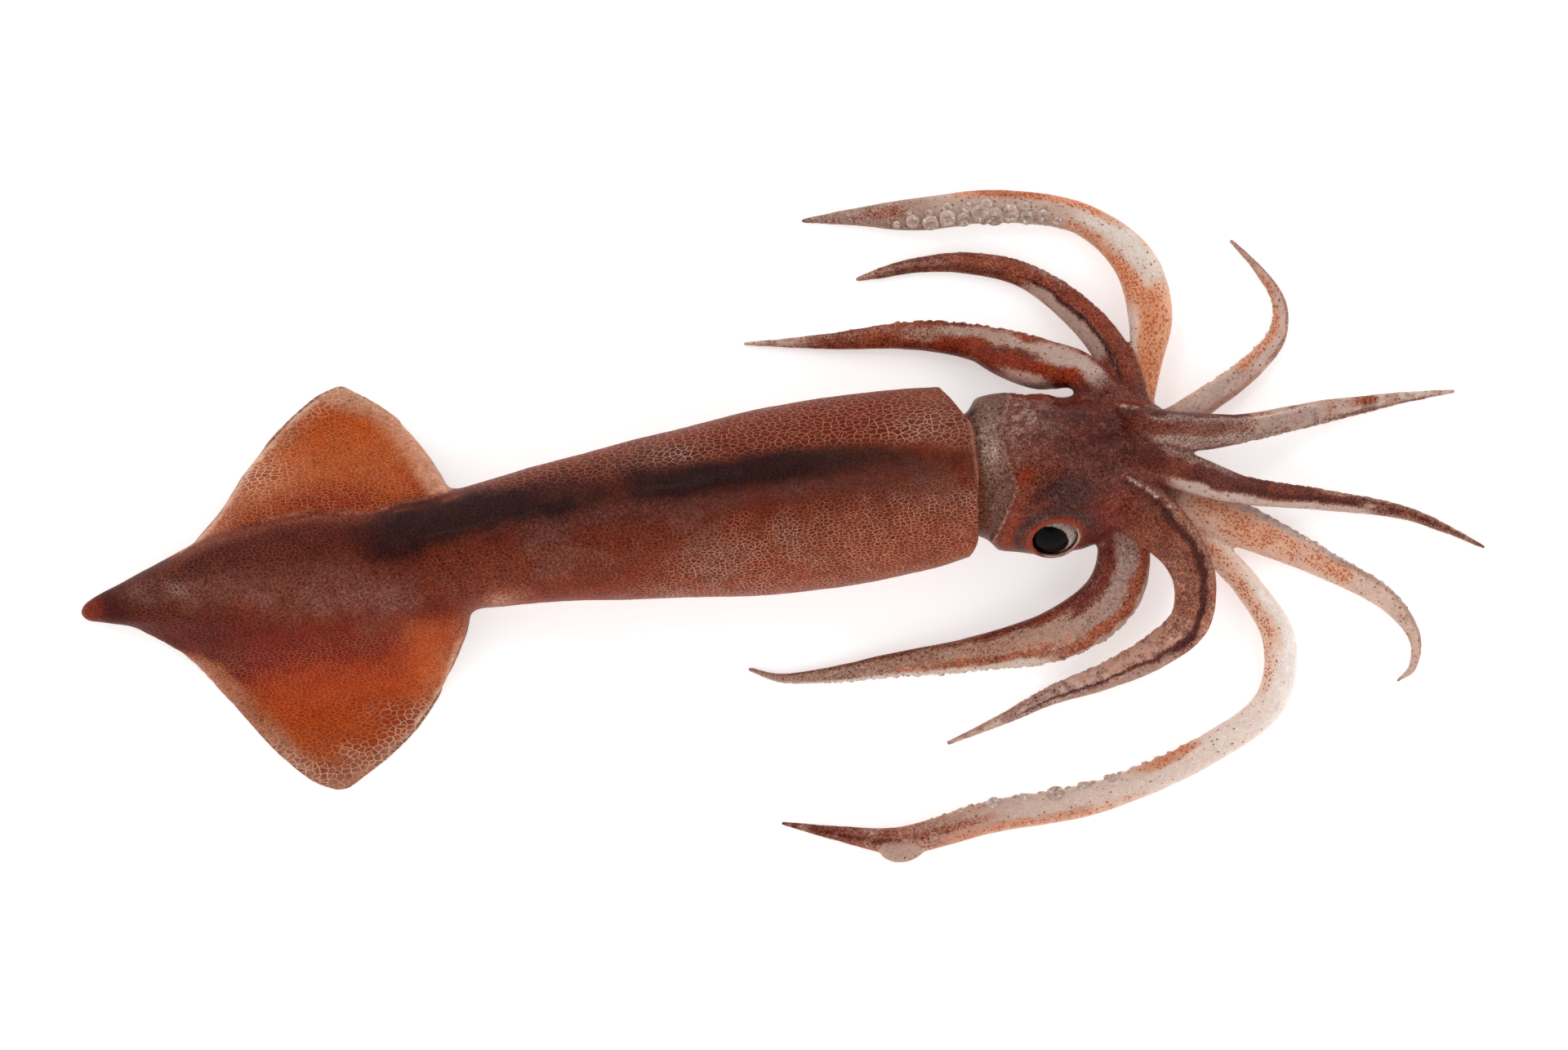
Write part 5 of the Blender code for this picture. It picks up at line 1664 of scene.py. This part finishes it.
def cup_material():
    """Suckers: pale flesh, each in its own tone, with dark folds and bright spots that are painted
    highlights.
    """
    tree = Tree(bpy.data.materials.new("sucker"))
    place = tree.place()
    specks = tree.noise(place, 0.7)
    fold_and_glint_noise = tree.noise(place, 1.1, 2.0, 0.6)
    colour = tree.mix((0.50, 0.35, 0.28, 1.0), (0.36, 0.22, 0.17, 1.0), tree.attribute("tone", "Fac"))
    colour = tree.mix(colour, (0.64, 0.52, 0.45, 1.0), tree.remap(specks, 0.50, 0.70))
    colour = tree.mix(colour, (0.16, 0.09, 0.065, 1.0), tree.remap(fold_and_glint_noise, 0.42, 0.34, 0.0, 0.7))
    # Bright spots on the high values of the same noise: painted highlights.
    colour = tree.mix(colour, (0.86, 0.82, 0.78, 1.0), tree.remap(fold_and_glint_noise, 0.63, 0.68))
    return tree.shade({
        "Base Color": colour, "Roughness": tree.remap(specks, 0.3, 0.7, 0.28, 0.5),
        "Normal": tree.bump(specks, 0.35, 0.2), "Coat Weight": 0.5, "Coat Roughness": 0.05})


def eye_material():
    """Eyeball: a black pupil in a pale, pink-grey white with fine dark dots."""
    tree = Tree(bpy.data.materials.new("eyeball"))
    local = tree.attribute("local")
    x, y, z = tree.parts(local)
    dx, dy = ((value - middle) / size for value, middle, size in zip((x, y), PUPIL, PUPIL_SIZE))
    out = tree.math("SQRT", dx * dx + dy * dy) + (tree.noise(local, 0.5) - 0.5) * 0.10
    pupil = tree.remap(out, 0.97, 1.05, 1.0, 0.0) * (z > 0.0)
    specks = tree.noise(local, 1.8, 3.0, 0.6)
    white = tree.mix((0.22, 0.15, 0.13, 1.0), (0.48, 0.37, 0.33, 1.0), tree.remap(specks, 0.35, 0.65))
    dots = tree.remap(tree.voronoi(local, (0.7, 0.7)), 0.16, 0.26, 1.0, 0.0)
    white = tree.mix(white, (0.10, 0.06, 0.05, 1.0), dots * tree.remap(out, 1.05, 1.5))
    return tree.shade({
        "Base Color": tree.mix(white, (0.002, 0.0015, 0.0012, 1.0), pupil),
        "Roughness": tree.remap(specks, 0.3, 0.7, 0.10, 0.2), "Normal": tree.bump(specks, 0.08, 0.1),
        "Specular IOR Level": 0.04, "Coat Weight": 0.03, "Coat Roughness": 0.04})


def floor_material():
    tree = Tree(bpy.data.materials.new("floor"))
    tone = tree.remap(tree.noise(tree.place(), 0.02), 0.3, 0.7)
    return tree.shade({
        "Base Color": tree.mix((0.90, 0.90, 0.90, 1.0), (0.92, 0.92, 0.92, 1.0), tone), "Roughness": 0.9,
        "Specular IOR Level": 0.1, "Emission Color": WHITE, "Emission Strength": FLOOR_GLOW})


def paint_crown(surface, places, nearest):
    """The head's paint, with each limb's own over the part that is nearest to it."""
    normal = surface.normals()
    paint = paint_head(surface.points, normal)
    for number, limb in enumerate(LIMBS):
        place = places[number]
        limb_paint = paint_limb(surface.points, place, LOOKS[limb], normal, number)
        own = (nearest == number) * (1 - rise(place["reach"], 1.2, 1.6))
        paint.blend(limb_paint, surface.soften(own, 3) * rise(place["along"], 2.0, 10.0))
    x, y, _ = surface.points.T
    small = fractal(surface.points, 1.8, 2, 9.0)
    upward = normal[:, 2] > 0.2
    # Each fold: a pale line, partly a painted highlight, and a painted shadow beside it.
    for line in FOLDS:
        fold = line_distance(x + 0.5 * small, y, line)
        shadow = line_distance(x + 0.8, y + 1.2, line)
        paint.tint_with((66, 32, 28), 0.6 * band(shadow, 0.0, 0.7) * upward)
        paint.tint_with((180, 156, 144), band(fold, 0.0, 0.5) * rise(small, -0.4, 0.2) * upward)
    centre, half = CLUB_LOBE
    lobe = 1 - rise(np.linalg.norm((surface.points - np.array(centre)) / np.array(half), axis=1), 1.0, 1.2)
    lobe *= rise(-y, 97.5, 99.5)
    paint.tint_with((186, 154, 140), 0.85 * lobe)
    paint.set("mottle", 0.4, lobe)
    return paint


def make_suckers(crown):
    """The clubs' and the arms' suckers, each kind as one piece."""
    tree = bvhtree.BVHTree.FromPolygons(crown.points.tolist(), crown.quads.tolist())
    material = cup_material()
    pieces = []
    for name, rows, seed in (("club_suckers", CLUB_ROWS, 3), ("arm_suckers", ARM_ROWS, 5)):
        points, faces, shade = cup_rows(rows, tree, seed)
        obj = new_object(name, points, faces)
        obj.data.shade_smooth()
        write_layer(obj.data, "tone", "FLOAT", "value", 0.5 + 0.5 * np.array(shade))
        obj.data.materials.append(material)
        pieces.append(obj)
    return pieces


def make_crown():
    """The crown's skin in its final shape, with its paint."""
    crown = crown_surface_mesh()
    places = [limb_place(crown.points, limb) for limb in LIMBS]
    nearest = np.array([place["reach"] for place in places]).argmin(axis=0)
    thin_tips(crown, places, nearest)
    scallop(crown, places, nearest)
    x, y, _ = crown.points.T
    over = rise(crown.normals()[:, 2], 0.05, 0.3) * (x < COLLAR_END)
    crown.push(COLLAR_HEIGHT * band(line_distance(x, y, COLLAR), 0.0, COLLAR_WIDTH) * over)
    crown.push(0.10 * fractal(crown.points, 5.0, 2, 8.0))
    crown.settle()
    return crown, paint_crown(crown, places, nearest)


def build_squid():
    """The flesh's pieces and the two eyeballs."""
    mantle = mantle_surface_mesh()
    mantle_paint = paint_mantle(mantle)
    crown, crown_paint = make_crown()
    pieces = []
    for name, surface, paint, wet in (
            ("mantle_skin", mantle, mantle_paint, MANTLE_WET), ("crown_skin", crown, crown_paint, CROWN_WET)):
        obj = surface.to_object(name)
        paint.write(obj.data)
        obj.data.materials.append(skin_material(name, wet))
        pieces.append(obj)
    pieces += make_suckers(crown)
    eyes = eye_material()
    balls = [eyeball("eyeball_right", *EYE_RIGHT), eyeball("eyeball_left", *EYE_LEFT)]
    for obj in balls:
        obj.data.materials.append(eyes)
    return pieces, balls


def add_floor():
    steps = np.linspace(-FLOOR_HALF, FLOOR_HALF, FLOOR_ROWS)
    points = [(x * MM, y * MM, FLOOR_HEIGHT * MM) for x in steps for y in steps]
    cells = [(i * FLOOR_ROWS + j, (i + 1) * FLOOR_ROWS + j) for i in range(FLOOR_ROWS - 1)
             for j in range(FLOOR_ROWS - 1)]
    mesh = bpy.data.meshes.new("floor")
    mesh.from_pydata(points, [], [(here, beyond, beyond + 1, here + 1) for here, beyond in cells])
    mesh.materials.append(floor_material())
    link_object("floor", mesh)


def add_camera():
    data = bpy.data.cameras.new("camera")
    data.sensor_width = SENSOR
    data.lens = SENSOR * VIEW_HEIGHT / VIEW_WIDTH
    data.clip_start, data.clip_end = CLIP_RANGE
    camera = link_object("camera", data)
    camera.location = (VIEW_CENTRE[0] * MM, VIEW_CENTRE[1] * MM, VIEW_HEIGHT * MM)
    camera.rotation_euler = (0.0, 0.0, VIEW_TURN)
    bpy.context.scene.camera = camera


def add_light():
    """Even light from the sides, dim overhead so that dark wet skin stays dark, and one soft lamp."""
    tree = Tree(bpy.data.worlds.new("world"))
    up = tree.parts(tree.add("ShaderNodeTexCoord", {}, "Generated"))[2]
    level = tree.remap(up, 0.62, 0.97, TENT_LIGHT, OVERHEAD_LIGHT)
    bpy.context.scene.world = tree.shade({"Color": WHITE, "Strength": level})
    data = bpy.data.lights.new("lamp", "AREA")
    data.shape = "DISK"
    data.size = LAMP_SIZE * MM
    data.energy = LAMP_POWER
    lamp = link_object("lamp", data)
    lamp.location = np.array(LAMP_PLACE) * MM
    lamp.rotation_euler = (-lamp.location).to_track_quat("-Z", "Y").to_euler()


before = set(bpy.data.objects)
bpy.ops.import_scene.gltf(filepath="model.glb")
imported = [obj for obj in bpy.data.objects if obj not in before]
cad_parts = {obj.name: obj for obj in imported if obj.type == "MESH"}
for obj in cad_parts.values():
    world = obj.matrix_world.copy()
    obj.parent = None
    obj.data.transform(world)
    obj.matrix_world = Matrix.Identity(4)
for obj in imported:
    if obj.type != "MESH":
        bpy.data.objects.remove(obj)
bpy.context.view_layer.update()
low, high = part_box("right_eye")
SHIFT = np.array((low + high) / 2) / MM - np.array(EYE_RIGHT[0])
bpy.context.scene.view_settings.view_transform = "Standard"

skins, eyeballs = build_squid()
for piece in skins:
    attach(piece, "root")
    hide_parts("squid")
for piece, node in zip(eyeballs, ("right_eye", "left_eye")):
    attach(piece, "root")
    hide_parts(node)
add_floor()
add_light()
add_camera()
